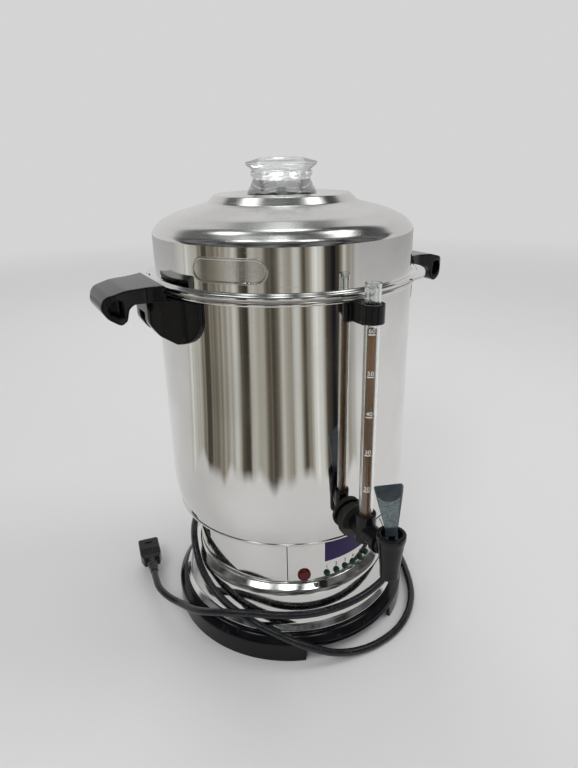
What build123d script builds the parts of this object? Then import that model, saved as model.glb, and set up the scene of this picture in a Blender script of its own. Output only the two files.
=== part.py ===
from build123d import *
import math
import os

# A percolating coffee urn of about sixty cups, in millimetres, +Z up.
# The urn's axis is the Z axis and the feet stand on z = 0. The tap points towards -Y and the handles
# stand on +X and -X. Azimuths are in degrees, counted from the tap towards +X.

# Tank
tank_radius = 118.2
tank_wall = 1.0
tank_floor = 125.0
tank_foot_radius = 113.0
tank_corner = 146.0
tank_corner_rounding = 100.0
tank_rim = 351.3
bead_height = 4.0
bead_reach = 3.6
bead_rounding = 1.9

# Base
neck_radius = 96.7
base_wall = 0.8
seam_height = 71.0
flange_width = 9.0
flare_radius = 115.6
ring_top = 25.8
ring_radius = 124.6
ring_wall = 3.5
ring_inner_radius = 105.0
cover_radius = 115.0
foot_gap_height = 15.0
foot_gap_angle = 50.0
foot_gap_places = (3.0, 183.0)
cover_thickness = 1.2
stud_radius = 3.0
stud_circle = 66.0
stud_places = (0.0, 120.0, 240.0)
nut_height = 4.5
nut_across = 10.0

# Heating
well_radius = 17.5
well_top = 146.0
well_stub_radius = 13.0
well_stub_bottom = 108.0
cartridge_radius = 10.5
gasket_thickness = 1.5
warm_ring_radius = 46.0
warm_ring_width = 9.0
warm_ring_height = 6.0
lead_radius = 1.2
lead_bend = 4.0
terminal_height = 15.0
terminal_place = 71.0
terminal_ways = (-15, -9, -3, 3, 9, 15)

# Label and lamps
label_thickness = 0.6
label_bottom = 73.0
label_top = 121.5
label_from = -30.0
label_to = 30.0
band_from = -8.0
band_to = 26.0
band_bottom = 90.0
band_top = 112.0
power_lamp_place = -20.3
power_lamp_height = 79.5
power_lamp_radius = 6.5
hour_lamp_first = -6.8
hour_lamp_step = 6.15
hour_lamp_count = 6
hour_lamp_height = 76.5
hour_lamp_radius = 3.2
lamp_reach = 2.6
lamp_holder_depth = 6.0

# Handles, with rises and drops counted from the tank's rim
handle_reach = 175.0
handle_half_width = 30.0
handle_root_half_width = 46.0
handle_rise = 8.3
handle_lip_drop = 21.3
handle_under_drop = 5.3
lobe_reach = 137.0
lobe_drop = 41.3
lobe_half_width = 58.5
handle_screw_drop = 27.3
handle_screw_radius = 2.5

# Lid
lid_radius = 117.4
lid_wall = 0.9
lid_rim_radius = 123.0
lid_rim_height = 4.2
lid_plug_depth = 10.5
lid_height = 70.1
shoulder_drop = 27.4
knob_hole_radius = 21.9
seal_thickness = 0.8
ear_radius = 130.0
ear_thickness = 1.4
ear_half_angle = 17.5
ear_place = 50.0
lock_turn = 40.0
badge_place = -49.4
badge_rise = 22.2
badge_length = 64.0
badge_width = 20.0
badge_reach = 0.9
badge_rim = 1.6

# Knob
knob_base_radius = 31.2
knob_waist_radius = 24.7
knob_disc_radius = 31.8
knob_neck_radius = 21.5
knob_height = 31.8
bayonet_reach = 3.4
bayonet_angle = 24.0
bayonet_count = 3
knob_turn = 60.0

# Tap, with rises and drops counted from its level axis, and the lever's from its pin
tap_height = 150.0
shank_radius = 7.4
collar_radius = 16.3
collar_width = 6.4
collar_ribs = 36
barrel_radius = 8.6
boss_place = 140.0
boss_radius = 9.2
boss_rise = 17.0
bore_radius = 4.2
spout_place = 175.3
joint_place = 162.0
spout_rim_radius = 12.3
spout_rim_rise = 4.8
spout_tip_radius = 7.9
outlet_radius = 5.5
outlet_length = 14.0
seat_drop = 12.0
chamber_radius = 7.0
guide_length = 3.0
cup_depth = 4.5
cup_radius = 8.8
stem_radius = 2.5
pin_radius = 1.2
pin_rise = 12.5
lever_azimuth = -28.0
lever_length = 49.5
lever_top_width = 23.2
lever_foot_width = 11.5
lever_lean = 5.5
lever_tilt = 55.0
valve_lift = 2.4

# Gauge, with rises and drops counted from the tank's rim
glass_radius = 4.0
glass_bore = 3.1
glass_rise = 10.7
shield_radius = 6.3
shield_wall = 1.1
shield_rise = 14.2
shield_slot = 5.0
bracket_drop = 16.3
bracket_height = 15.0
bracket_ring_radius = 9.4
bracket_screw_radius = 2.0
bracket_screw_rise = 2.0
coffee_drop = 26.3

# Basket and pump
basket_radius = 92.0
basket_wall = 0.8
basket_drop = 89.3
basket_height = 58.0
pump_radius = 5.0
pump_wall = 0.7
pump_rise = 5.6
pump_foot_radius = 24.0

# Cord and plug
cord_radius = 3.6
gland_radius = 7.5
gland_height = 104.0
gland_end = 126.0
plug_width = 23.0
plug_length = 38.0
plug_thickness = 12.0
blade_length = 16.2

# Clearances
slide_gap = 0.3
shaft_gap = 0.05
fit_gap = 0.02

# The cord's route: azimuth, distance from the urn's axis and height, from the gland to the plug.
cord_route = [
    (180.0, 126.0, 104.0),
    (180.0, 149.5, 104.0),
    (179.5, 165.0, 95.0),
    (178.2, 174.0, 79.0),
    (175.8, 175.5, 61.5),
    (171.8, 173.5, 44.5),
    (166.0, 169.0, 29.0),
    (158.0, 163.5, 17.0),
    (147.5, 158.0, 8.5),
    (134.5, 153.0, 4.2),
    (117.0, 147.0, 4.2),
    (99.0, 141.0, 4.2),
    (79.0, 136.0, 4.2),
    (61.0, 134.5, 4.2),
    (43.0, 140.5, 4.2),
    (25.0, 143.5, 4.2),
    (8.0, 139.5, 4.2),
    (-7.0, 134.5, 8.0),
    (-20.0, 131.5, 21.0),
    (-33.0, 124.5, 31.5),
    (-48.0, 119.0, 39.5),
    (-63.0, 116.5, 48.5),
    (-79.0, 113.5, 61.0),
    (-97.0, 108.0, 75.0),
    (-118.0, 105.5, 81.0),
    (-142.0, 105.0, 82.0),
    (-167.0, 105.0, 81.0),
    (-192.0, 105.5, 80.0),
    (-217.0, 106.5, 78.0),
    (-241.0, 109.5, 73.0),
    (-264.0, 114.5, 67.0),
    (-287.0, 120.0, 62.0),
    (-309.0, 124.0, 57.5),
    (-331.0, 122.0, 53.0),
    (-352.0, 118.5, 49.0),
    (-373.0, 116.5, 47.0),
    (-392.0, 117.0, 48.0),
    (-408.0, 121.5, 51.0),
    (-421.5, 128.5, 46.0),
    (-433.5, 133.0, 35.5),
    (-445.0, 134.0, 26.5),
]
plug_approach = [(-141.5, 8.0, 23.4), (-146.0, 28.0, 22.4)]
plug_start = (-142.6, 56.2, 22.4)
plug_heading = 81.0
relief_length = 19.0

os.makedirs("parts", exist_ok=True)


def polar(azimuth, radius, height):
    """A point at an azimuth counted from the tap towards +X."""
    turn = math.radians(azimuth)
    return Vector(radius * math.sin(turn), -radius * math.cos(turn), height)


def outline(points, radii=0.0):
    """Face from its corners, each rounded to its own radius, or all to one."""
    if isinstance(radii, (int, float)) and radii == 0:
        return make_face(Polyline(*points, close=True))
    return make_face(FilletPolyline(*points, radius=radii, close=True))


def turned(points, radii=0.0):
    """Solid of revolution about Z from corners given as radius and height."""
    return revolve(Plane.XZ * outline(points, radii), Axis.Z)


def stamped(points, radii, wall):
    """Sheet of revolution: a line of radius and height, with the wall laid on its left side."""
    path = FilletPolyline(*points, radius=radii)
    strip = make_face(offset(path, wall, side=Side.LEFT))
    return revolve(Plane.XZ * strip, Axis.Z)


def rod(radius, start, end):
    """Round bar between two points."""
    way = Vector(*end) - Vector(*start)
    bar = Cylinder(radius, way.length, align=(Align.CENTER, Align.CENTER, Align.MIN))
    return Plane(origin=start, z_dir=way) * bar


def tube(outer, inner, start, end):
    """Round pipe between two points."""
    return rod(outer, start, end) - rod(inner, start, end)


def disc(outer, inner, bottom, top):
    """Flat ring about the urn's axis."""
    return tube(outer, inner, (0, 0, bottom), (0, 0, top))


def sector(outer, inner, bottom, top, first, last):
    """Part of a ring about the urn's axis between two azimuths."""
    wedge = revolve(
        Plane.XZ * outline([(inner, bottom), (outer, bottom), (outer, top), (inner, top)]),
        Axis.Z,
        revolution_arc=last - first,
    )
    return Rot(0, 0, first - 90) * wedge


def hexagon(across, start, end):
    """Hexagonal bar between two points."""
    way = Vector(*end) - Vector(*start)
    plane = Plane(origin=start, z_dir=way)
    return extrude(plane * RegularPolygon(across / 2, 6, major_radius=False), way.length)


def box_between(low, high):
    """Square block from its lowest to its highest corner."""
    size = [b - a for a, b in zip(low, high)]
    middle = [(a + b) / 2 for a, b in zip(low, high)]
    return Pos(*middle) * Box(*size)


def spoke(radius, inner, outer, azimuth, height):
    """Round bar that points away from the urn's axis."""
    return rod(radius, polar(azimuth, inner, height), polar(azimuth, outer, height))


def save(name, *shapes):
    """Writes one named piece, or a group of like pieces."""
    solids = [solid for shape in shapes for solid in shape.solids()]
    piece = solids[0] if len(solids) == 1 else Compound(children=solids)
    export_step(piece, f"parts/{name}.step")


# Places worked out from the sizes
tank_bore = tank_radius - tank_wall
tank_profile = [(tank_foot_radius, tank_floor), (tank_radius, tank_corner), (tank_radius, tank_rim)]
floor_top = tank_floor + tank_wall
bead_bottom = tank_rim - bead_height
seal_top = tank_rim + seal_thickness
lid_rim_top = seal_top + lid_rim_height
lid_top = tank_rim + lid_height
lid_shoulder = lid_top - shoulder_drop
badge_height = tank_rim + badge_rise
handle_top = tank_rim + handle_rise
handle_lip = tank_rim - handle_lip_drop
handle_under = tank_rim - handle_under_drop
handle_screw_height = tank_rim - handle_screw_drop
lobe_bottom = tank_rim - lobe_drop
glass_top = tank_rim + glass_rise
shield_top = tank_rim + shield_rise
bracket_bottom = tank_rim - bracket_drop
bracket_top = bracket_bottom + bracket_height
bracket_screw_height = bracket_bottom + bracket_screw_rise
coffee_level = tank_rim - coffee_drop
basket_bottom = tank_rim - basket_drop
pump_top = lid_top + pump_rise
boss_top = tap_height + boss_rise
seat_height = tap_height - seat_drop
spout_tip = seat_height - outlet_length
pin_height = tap_height + pin_rise
cup_floor = pin_height - cup_depth
guide_bottom = cup_floor - guide_length
spout_rim = pin_height + spout_rim_rise
lever_top = pin_height + lever_length
boss_bore = shield_radius + 0.2
bracket_bore = shield_radius + slide_gap / 2
ring_underside = ring_top - ring_wall
ring_wall_top = ring_top - 6.3
cover_bottom = ring_underside - cover_thickness
stud_bottom = cover_bottom - nut_height - 2.0
neck_bore = neck_radius - base_wall
well_nut_top = tank_floor - gasket_thickness
tap_point = Vector(0, -spout_place, 0)
handle_inner = lid_rim_radius + 2.0
ear_bottom = seal_top + 1.4
screw_seat = lobe_reach - 9.0
lobe_back = tank_radius - 19.0
skirt_radius = tank_bore - 0.8
handle_nut_inner = tank_bore - 5.6
bracket_screw_end = tank_radius + 9.0
boss_seat = boss_top - 10.5
collar_inner = tank_radius + 2.4
collar_outer = collar_inner + collar_width
washer_inner = tank_bore - 4.6
heater_pin_bottom = well_stub_bottom - 6
terminal_top = ring_underside + terminal_height
hour_lamp_places = [hour_lamp_first + hour_lamp_step * i for i in range(hour_lamp_count)]


def tank_shell():
    """Drawn steel tank with a rounded foot, a solid bead at its mouth and a flat floor."""
    hole = (well_stub_radius + slide_gap, tank_floor)
    shell = stamped([hole, *tank_profile], [2.0, tank_corner_rounding], tank_wall)
    bead_edge = tank_radius + bead_reach
    shell += turned(
        [(tank_bore, bead_bottom), (bead_edge, bead_bottom), (bead_edge, tank_rim), (tank_bore, tank_rim)],
        [0, bead_rounding, bead_rounding, 0],
    )
    shell -= spoke(shank_radius + shaft_gap, tank_bore - 2, tank_radius + 2, 0, tap_height)
    shell -= spoke(bracket_screw_radius, tank_bore - 2, tank_radius + 2, 0, bracket_screw_height)
    for side in (90, -90):
        way = handle_screw_radius + fit_gap
        shell -= spoke(way, tank_bore - 2, tank_radius + 2, side, handle_screw_height)
    return shell


def base_neck():
    """Straight collar under the tank, pierced for the lamps and the cord."""
    inner = neck_radius - flange_width
    shell = stamped(
        [(inner, seam_height), (neck_radius, seam_height), (neck_radius, tank_floor), (inner, tank_floor)],
        [1.2, 1.2],
        base_wall,
    )
    for hole in lamp_holes():
        shell -= hole
    return shell - spoke(gland_radius + fit_gap, neck_bore - 4, neck_radius + 2, 180, gland_height)


def base_flare():
    """Polished foot stamping that spreads from the seam to the black ring."""
    return stamped(
        [
            (flare_radius - 2.6, ring_top),
            (flare_radius, ring_top),
            (flare_radius, ring_top + 2.4),
            (flare_radius - 4.2, ring_top + 7.2),
            (flare_radius - 6.6, ring_top + 18.2),
            (flare_radius - 9.6, seam_height - 6.0),
            (flare_radius - 17.6, seam_height),
            (neck_radius - flange_width, seam_height),
        ],
        [0.9, 0.9, 6.0, 20.0, 8.0, 5.0],
        base_wall,
    )


def whole_ring():
    """Black moulded ring that carries the urn, cut away under its rim at the front and the rear."""
    ring = stamped(
        [
            (ring_radius, 0),
            (ring_radius, ring_top - 6.5),
            (ring_radius - 6.5, ring_top),
            (ring_inner_radius, ring_top),
        ],
        [5.0, 7.0],
        ring_wall,
    )
    for place in foot_gap_places:
        half = foot_gap_angle / 2
        gap = sector(ring_radius + 3, ring_inner_radius, -1, foot_gap_height, place - half, place + half)
        ring -= gap
    return ring


def above_ring_wall():
    """Space that holds the shoulder and the web of the black ring."""
    return disc(ring_radius + 1, ring_inner_radius - 1, ring_wall_top, ring_top + 1)


def base_ring():
    """Upright wall of the black ring."""
    return whole_ring() - above_ring_wall()


def ring_web():
    """Shoulder and flat web of the black ring, on which the flare stands."""
    return whole_ring() & above_ring_wall()


def bottom_cover():
    """Round plate that closes the base from below, with a ring of slots for air."""
    cover = rod(cover_radius, (0, 0, cover_bottom), (0, 0, ring_underside))
    for place in range(0, 360, 30):
        slot = box_between((28, -2, cover_bottom - 1), (50, 2, ring_underside + 1))
        cover -= Rot(0, 0, place) * slot
    for place in stud_places:
        cover -= stud_hole(place, cover_bottom - 1, ring_underside + 1)
    return cover


def stud_hole(place, bottom, top):
    """Clearance hole for one of the long studs."""
    return rod(stud_radius + shaft_gap, polar(place, stud_circle, bottom), polar(place, stud_circle, top))


def base_studs():
    """Long studs, welded under the tank floor, that hold the base together."""
    return [
        rod(stud_radius, polar(place, stud_circle, stud_bottom), polar(place, stud_circle, tank_floor))
        for place in stud_places
    ]


def base_nuts():
    """Nuts under the bottom cover."""
    return [
        hexagon(
            nut_across,
            polar(place, stud_circle, cover_bottom - nut_height),
            polar(place, stud_circle, cover_bottom),
        )
        - stud_hole(place, stud_bottom, tank_floor)
        for place in stud_places
    ]


def heater_well():
    """Steel well that stands in the tank floor and holds the main heater."""
    collar_top = floor_top + gasket_thickness + 2.5
    well = turned(
        [
            (0, well_stub_bottom),
            (well_stub_radius, well_stub_bottom),
            (well_stub_radius, floor_top + gasket_thickness),
            (well_radius + 3, floor_top + gasket_thickness),
            (well_radius + 3, collar_top),
            (well_radius, collar_top),
            (well_radius, well_top),
            (0, well_top),
        ]
    )
    well = fillet(well.edges().sort_by(Axis.Z)[-1], 2.0)
    return well - rod(cartridge_radius + shaft_gap, (0, 0, well_stub_bottom - 1), (0, 0, well_top - 2.5))


def well_gaskets():
    """Soft washers above and below the tank floor round the heater well."""
    return [
        disc(well_radius + 3, well_stub_radius + shaft_gap, floor_top, floor_top + gasket_thickness),
        disc(well_radius + 3, well_stub_radius + shaft_gap, well_nut_top, tank_floor),
    ]


def well_nut():
    """Large nut that clamps the heater well to the tank floor."""
    nut = hexagon(36, (0, 0, well_nut_top - 7), (0, 0, well_nut_top))
    return nut - rod(well_stub_radius + shaft_gap, (0, 0, well_stub_bottom), (0, 0, tank_floor))


def main_heater():
    """Cartridge heater in the well, with its two terminal pins."""
    heater = rod(cartridge_radius, (0, 0, well_stub_bottom + 3), (0, 0, well_top - 3))
    for side in (-5, 5):
        heater += rod(1.5, (side, 0, heater_pin_bottom), (side, 0, well_stub_bottom + 4))
    return heater


def keep_warm_heater():
    """Flat ring heater under the tank floor, with its two terminal pins."""
    bottom = tank_floor - warm_ring_height
    heater = disc(warm_ring_radius + warm_ring_width, warm_ring_radius, bottom, tank_floor)
    for side in (-8, 8):
        foot = warm_pin(side)
        heater += rod(1.5, foot, foot + Vector(0, 0, 8))
    return heater


def warm_pin(side):
    """Lower end of a terminal pin on the ring heater."""
    return Vector(side, warm_ring_radius + warm_ring_width / 2, tank_floor - warm_ring_height - 7)


def thermostat():
    """Snap disc thermostat against the tank floor."""
    middle = (28, -16)
    can = rod(8.5, (*middle, tank_floor - 9), (*middle, tank_floor))
    for side in (-5, 5):
        can += box_between((27, -16 + side - 0.4, tank_floor - 16), (29, -16 + side + 0.4, tank_floor - 8.5))
    return can


def thermal_fuse():
    """Safety fuse in its sleeve, in a saddle against the tank floor."""
    place = -26
    body = rod(3, (place, -12, tank_floor - 5), (place, 14, tank_floor - 5))
    saddle = box_between((place - 4, -5, tank_floor - 6), (place + 4, 7, tank_floor))
    return body + saddle


def terminal_block():
    """Screw terminal block that stands on the bottom cover behind the heaters."""
    block = box_between((-18, terminal_place - 7, ring_underside), (18, terminal_place + 7, terminal_top))
    for way in terminal_ways:
        block -= rod(2.2, (way, terminal_place, terminal_top - 4), (way, terminal_place, terminal_top + 1))
    return block


def lead(*points):
    """Insulated wire along its corners."""
    path = FilletPolyline(*points, radius=lead_bend)
    return sweep(Plane(origin=path @ 0, z_dir=path % 0) * Circle(lead_radius), path=path)


def lamp_lead(azimuth, radius):
    """Point of a lead at the height of the lamp board."""
    return polar(azimuth, radius, 80)


def wiring():
    """Leads from the terminal block to the fuse, the heaters, the lamp board and the gland."""
    foot = terminal_top - 4
    y = terminal_place
    rear = y + 7
    board = neck_bore - fit_gap - lamp_holder_depth - 1.7
    high = gland_height
    pin = heater_pin_bottom
    fuse = tank_floor - 5
    snap = tank_floor - 16
    return [
        lead((-15, y, foot), (-15, y, 70), (-26, 26, 95), (-26, 26, fuse), (-26, 14, fuse)),
        lead((-26, -12, fuse), (-26, -24, fuse), (-26, -24, 98), (28, -21, 92), (28, -21, snap)),
        lead((28, -11, snap), (28, -11, 96), (5, 0, 90), (5, 0, pin)),
        lead((-5, 0, pin), (-5, 0, 84), (-9, y, 60), (-9, y, foot)),
        lead((-3, y, foot), (-3, y, 75), (-8, warm_pin(0).Y, 90), warm_pin(-8)),
        lead((3, y, foot), (3, y, 75), (8, warm_pin(0).Y, 90), warm_pin(8)),
        lead((9, y, foot), (9, y, 46), (44, 10, 50), (44, -40, 60), lamp_lead(20, 76), lamp_lead(20, board)),
        lead((15, y, foot), (15, y, 44), (50, 9, 48), (50, -40, 58), lamp_lead(24, 76), lamp_lead(24, board)),
        lead((-1.6, neck_bore - 3, high), (-1.6, 84, high), (-6, 84, 30), (-6, rear, 30)),
        lead((1.6, neck_bore - 3, high), (1.6, 84, high), (6, 84, 30), (6, rear, 30)),
    ]


def lamp_holes():
    """Round holes through the neck and the label, one for each lamp."""
    inner = neck_bore - 3
    outer = neck_radius + 4
    holes = [spoke(power_lamp_radius + fit_gap, inner, outer, power_lamp_place, power_lamp_height)]
    for place in hour_lamp_places:
        holes.append(spoke(hour_lamp_radius + fit_gap, inner, outer, place, hour_lamp_height))
    return holes


def label_plate():
    """Thin curved plate on the front of the neck."""
    plate = sector(
        neck_radius + label_thickness, neck_radius, label_bottom, label_top, label_from, label_to
    )
    for hole in lamp_holes():
        plate -= hole
    return plate


def label_band():
    """Plain coloured band on the label plate."""
    inner = neck_radius + label_thickness
    return sector(inner + 0.25, inner, band_bottom, band_top, band_from, band_to)


def dome_lens(radius, place, height, reach):
    """Lamp lens: a short bar with a rounded front."""
    inner = neck_bore - lamp_holder_depth + 1
    outer = neck_radius + label_thickness + reach
    lens = spoke(radius, inner, outer, place, height)
    front = lens.edges().filter_by(GeomType.CIRCLE).sort_by_distance(polar(place, outer + 9, height))[0]
    return fillet(front, min(reach, radius) * 0.8)


def lamp_holder():
    """Moulded arc behind the label that holds the lenses."""
    outer = neck_bore - fit_gap
    holder = sector(outer, outer - lamp_holder_depth, label_bottom + 0.2, label_bottom + 14, -28, 28)
    holder -= spoke(power_lamp_radius + fit_gap, 80, outer + 1, power_lamp_place, power_lamp_height)
    for place in hour_lamp_places:
        holder -= spoke(hour_lamp_radius + fit_gap, 80, outer + 1, place, hour_lamp_height)
    return holder


def lamp_board():
    """Thin circuit board behind the lamp holder."""
    outer = neck_bore - fit_gap - lamp_holder_depth
    return sector(outer, outer - 1.6, label_bottom + 0.2, label_bottom + 14, -28, 28)


def handle_top_plate():
    """Side outline of the grip: flat on top, curled down at its tip."""
    return outline(
        [
            (handle_inner, handle_under),
            (handle_inner, handle_top),
            (handle_reach - 20.0, handle_top - 1.6),
            (handle_reach - 3.0, handle_top - 6.0),
            (handle_reach, handle_top - 16.0),
            (handle_reach - 4.5, handle_lip + 6.0),
            (handle_reach - 14.0, handle_lip),
            (handle_reach - 19.0, handle_lip + 3.5),
            (handle_reach - 21.5, handle_lip + 13.0),
            (handle_reach - 26.0, handle_under),
        ],
        [0.1, 1.5, 20.0, 9.0, 7.0, 8.0, 3.0, 3.0, 6.0, 5.0],
    )


def handle():
    """Moulded handle at +X: a wide grip on a lobe that hugs the tank, slotted for the lid's ear."""
    width = 2 * handle_root_half_width
    grip = extrude(Plane.XZ.offset(-handle_root_half_width) * handle_top_plate(), width)
    tip = handle_reach + 1
    root = tank_radius - 8.0
    plan = outline(
        [
            (root, -handle_root_half_width),
            (root + 14, -handle_half_width - 6),
            (root + 28, -handle_half_width),
            (tip, -handle_half_width + 2),
            (tip, handle_half_width - 2),
            (root + 28, handle_half_width),
            (root + 14, handle_half_width + 6),
            (root, handle_root_half_width),
        ],
        [0, 20, 20, 14, 14, 20, 20, 0],
    )
    grip &= Pos(0, 0, handle_lip - 10) * extrude(plan, handle_top - handle_lip + 20)
    for side in (-1, 1):
        grip -= lip_pocket(side)
    lobe_side = outline(
        [
            (lobe_back, handle_under + 2),
            (lobe_reach, handle_under + 2),
            (lobe_reach, lobe_bottom + 16.0),
            (lobe_reach - 6.5, lobe_bottom + 6.0),
            (lobe_reach - 17.0, lobe_bottom),
            (lobe_back, lobe_bottom),
        ],
        [0, 0, 10, 8, 4, 0],
    )
    lobe = extrude(Plane.XZ.offset(-lobe_half_width) * lobe_side, 2 * lobe_half_width)
    lobe_plan = outline(
        [
            (lobe_back, -lobe_half_width),
            (lobe_back + 7.5, -lobe_half_width),
            (lobe_reach - 22.0, -43),
            (lobe_reach - 8.0, -27),
            (lobe_reach, -19),
            (lobe_reach, 19),
            (lobe_reach - 8.0, 27),
            (lobe_reach - 22.0, 43),
            (lobe_back + 7.5, lobe_half_width),
            (lobe_back, lobe_half_width),
        ],
        [0, 2.5, 30, 14, 8, 8, 14, 30, 2.5, 0],
    )
    lobe &= Pos(0, 0, lobe_bottom - 5) * extrude(lobe_plan, 60)
    lobe_front = outline(
        [
            (-lobe_half_width, lobe_bottom),
            (lobe_half_width, lobe_bottom),
            (lobe_half_width, handle_under + 10),
            (-lobe_half_width, handle_under + 10),
        ],
        [24, 24, 0, 0],
    )
    lobe &= extrude(Plane.YZ.offset(lobe_back) * lobe_front, 60)
    whole = grip + lobe
    whole -= rod(tank_radius + fit_gap, (0, 0, lobe_bottom - 5), (0, 0, bead_bottom))
    whole -= rod(handle_inner, (0, 0, bead_bottom - slide_gap), (0, 0, handle_top + 5))
    whole -= disc(ear_radius + 1.2, handle_inner - 1, ear_bottom - 0.7, ear_bottom + ear_thickness + 0.8)
    z = handle_screw_height
    whole -= box_between((screw_seat, -8, z - 8.5), (lobe_reach + 5, 8, z + 9.5))
    return whole - rod(handle_screw_radius + fit_gap, (lobe_back, 0, z), (lobe_reach + 5, 0, z))


def lip_pocket(side):
    """Hollow in one end of the curled lip."""
    corners = [(-17.0, 5.0), (-7.0, 9.5), (-5.0, 15.0), (-10.0, 21.0), (-16.5, 20.0)]
    pocket = outline([(handle_reach + x, handle_lip + z) for x, z in corners], 2.0)
    deep = extrude(Plane.XZ * pocket, 14, both=True)
    return Pos(0, side * (handle_half_width + 1), 0) * deep


def on_both_sides(shape):
    """The piece at +X and its twin half a turn round."""
    return [shape, Rot(0, 0, 180) * shape]


def handle_screw():
    """Pan head screw from the handle's recess through the tank wall."""
    z = handle_screw_height
    screw = rod(handle_screw_radius, (handle_nut_inner - 1.5, 0, z), (screw_seat, 0, z))
    head = rod(5.0, (screw_seat, 0, z), (screw_seat + 3.2, 0, z))
    head -= box_between((screw_seat + 1.8, -4, z - 0.6), (screw_seat + 4, 4, z + 0.6))
    head -= box_between((screw_seat + 1.8, -0.6, z - 4), (screw_seat + 4, 0.6, z + 4))
    return screw + head


def handle_nut():
    """Nut and its washer inside the tank."""
    z = handle_screw_height
    washer_outer = handle_nut_inner + 4.4
    nut = hexagon(8, (handle_nut_inner, 0, z), (handle_nut_inner + 3.4, 0, z))
    nut += rod(6.5, (handle_nut_inner + 3.4, 0, z), (washer_outer, 0, z))
    return nut - rod(handle_screw_radius + fit_gap, (handle_nut_inner - 5, 0, z), (tank_radius, 0, z))


def lid_skirt():
    """Plain ring welded inside the lid's rim, which centres the lid in the tank's mouth."""
    return stamped(
        [
            (skirt_radius, seal_top - lid_plug_depth),
            (skirt_radius, seal_top),
            (lid_radius + 1.0, seal_top),
        ],
        [1.0],
        lid_wall,
    )


def lid_shell():
    """Deep domed lid: folded rim, tall straight side, rounded shoulder and raised middle."""
    shell = stamped(
        [
            (lid_radius + 1.0, seal_top),
            (lid_rim_radius, seal_top),
            (lid_rim_radius, lid_rim_top),
            (lid_radius, lid_rim_top),
            (lid_radius, lid_shoulder),
            (lid_radius - 6.8, lid_top - 19.8),
            (lid_radius - 21.4, lid_top - 13.1),
            (lid_radius - 49.8, lid_top - 5.4),
            (lid_radius - 56.4, lid_top + 1.2),
            (lid_radius - 69.4, lid_top + 2.2),
            (34.0, lid_top),
            (knob_hole_radius, lid_top),
        ],
        [1.9, 1.9, 1.2, 8.0, 16.0, 30.0, 4.0, 3.0, 6.0, 4.0],
        lid_wall,
    )
    for place in bayonet_places():
        first = place + knob_turn - bayonet_angle / 2 - 3
        last = place + knob_turn + bayonet_angle / 2 + 3
        reach = knob_neck_radius + bayonet_reach + slide_gap
        shell -= sector(reach, 10, lid_top - 5, lid_top + 5, first, last)
    for place in (-33, -28, -23):
        shell -= rod(1.1, polar(place, 74, lid_top - 20), polar(place, 74, lid_top + 5))
    for ear in lid_ears():
        shell -= ear
    return shell


def bayonet_places():
    """Azimuths of the knob's lugs while the knob is locked."""
    return [120 * i for i in range(bayonet_count)]


def lid_ears():
    """Flat steel ears on the lid's rim that turn under the handles' lugs."""
    ears = []
    for place in (ear_place, ear_place - 180):
        inner = lid_radius + lid_wall
        points = [
            polar(place - ear_half_angle, inner, 0),
            polar(place - ear_half_angle, 124.5, 0),
            polar(place - ear_half_angle + 5, ear_radius - 1.2, 0),
        ]
        for step in (-8, -4, 0, 4, 8):
            points.append(polar(place + step, ear_radius, 0))
        points += [
            polar(place + ear_half_angle - 5, ear_radius - 1.2, 0),
            polar(place + ear_half_angle, 124.5, 0),
            polar(place + ear_half_angle, inner, 0),
        ]
        plate = extrude(make_face(Polyline(*points, close=True)), ear_thickness)
        ears.append(Pos(0, 0, ear_bottom) * plate - rod(inner, (0, 0, tank_rim), (0, 0, lid_top)))
    return ears


def lid_seal():
    """Soft ring between the tank's bead and the lid's rim."""
    return disc(lid_rim_radius - 2.0, tank_bore + 0.4, tank_rim, seal_top)


def lid_badge():
    """Blank long-round plate with a raised border on the lid's side."""
    blank = SlotOverall(badge_length, badge_width)
    inside = SlotOverall(badge_length - 2 * badge_rim, badge_width - 2 * badge_rim)
    plane = Plane(
        origin=polar(badge_place, lid_radius - 8, badge_height),
        x_dir=(math.cos(math.radians(badge_place)), math.sin(math.radians(badge_place)), 0),
        z_dir=polar(badge_place, 1, 0),
    )
    low = badge_height - badge_width
    high = badge_height + badge_width
    plate = extrude(plane * blank, 20) & disc(lid_radius + badge_reach, lid_radius, low, high)
    field = extrude(plane * inside, 20) & disc(lid_radius + 2, lid_radius + badge_reach / 2, low, high)
    return plate - field


def lid_knob():
    """Hollow glass knob: flared foot, waist, ring and disc, on a bayonet neck."""
    foot = lid_top
    top = foot + knob_height
    knob = turned(
        [
            (0, foot - 5.0),
            (knob_neck_radius, foot - 5.0),
            (knob_neck_radius, foot),
            (knob_base_radius, foot),
            (knob_base_radius, foot + 1.2),
            (knob_waist_radius, foot + 14.8),
            (27.4, foot + 16.4),
            (27.4, foot + 19.4),
            (25.8, foot + 20.6),
            (knob_disc_radius, foot + 25.4),
            (knob_disc_radius, foot + 27.4),
            (18.0, top - 1.0),
            (0, top),
        ],
        [0, 0.5, 0, 1.0, 1.0, 3.0, 0.8, 0.8, 0.6, 1.0, 1.0, 20.0, 0],
    )
    knob -= turned(
        [
            (0, foot - 6.0),
            (knob_neck_radius - 2.5, foot - 6.0),
            (knob_neck_radius - 2.5, foot + 13.0),
            (14.0, foot + 20.5),
            (0, foot + 22.5),
        ],
        [0, 0, 6.0, 6.0, 0],
    )
    for place in bayonet_places():
        half = bayonet_angle / 2
        reach = knob_neck_radius + bayonet_reach
        lug_top = lid_top - lid_wall - slide_gap
        knob += sector(reach, knob_neck_radius - 1, lug_top - 2.2, lug_top, place - half, place + half)
    return knob


def filled_tank():
    """Tank as a solid block, for pieces shaped to its wall."""
    return turned(
        [(0, tank_floor), *tank_profile, (0, tank_rim)],
        [0, 2.0, tank_corner_rounding, 0, 0],
    )


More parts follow.
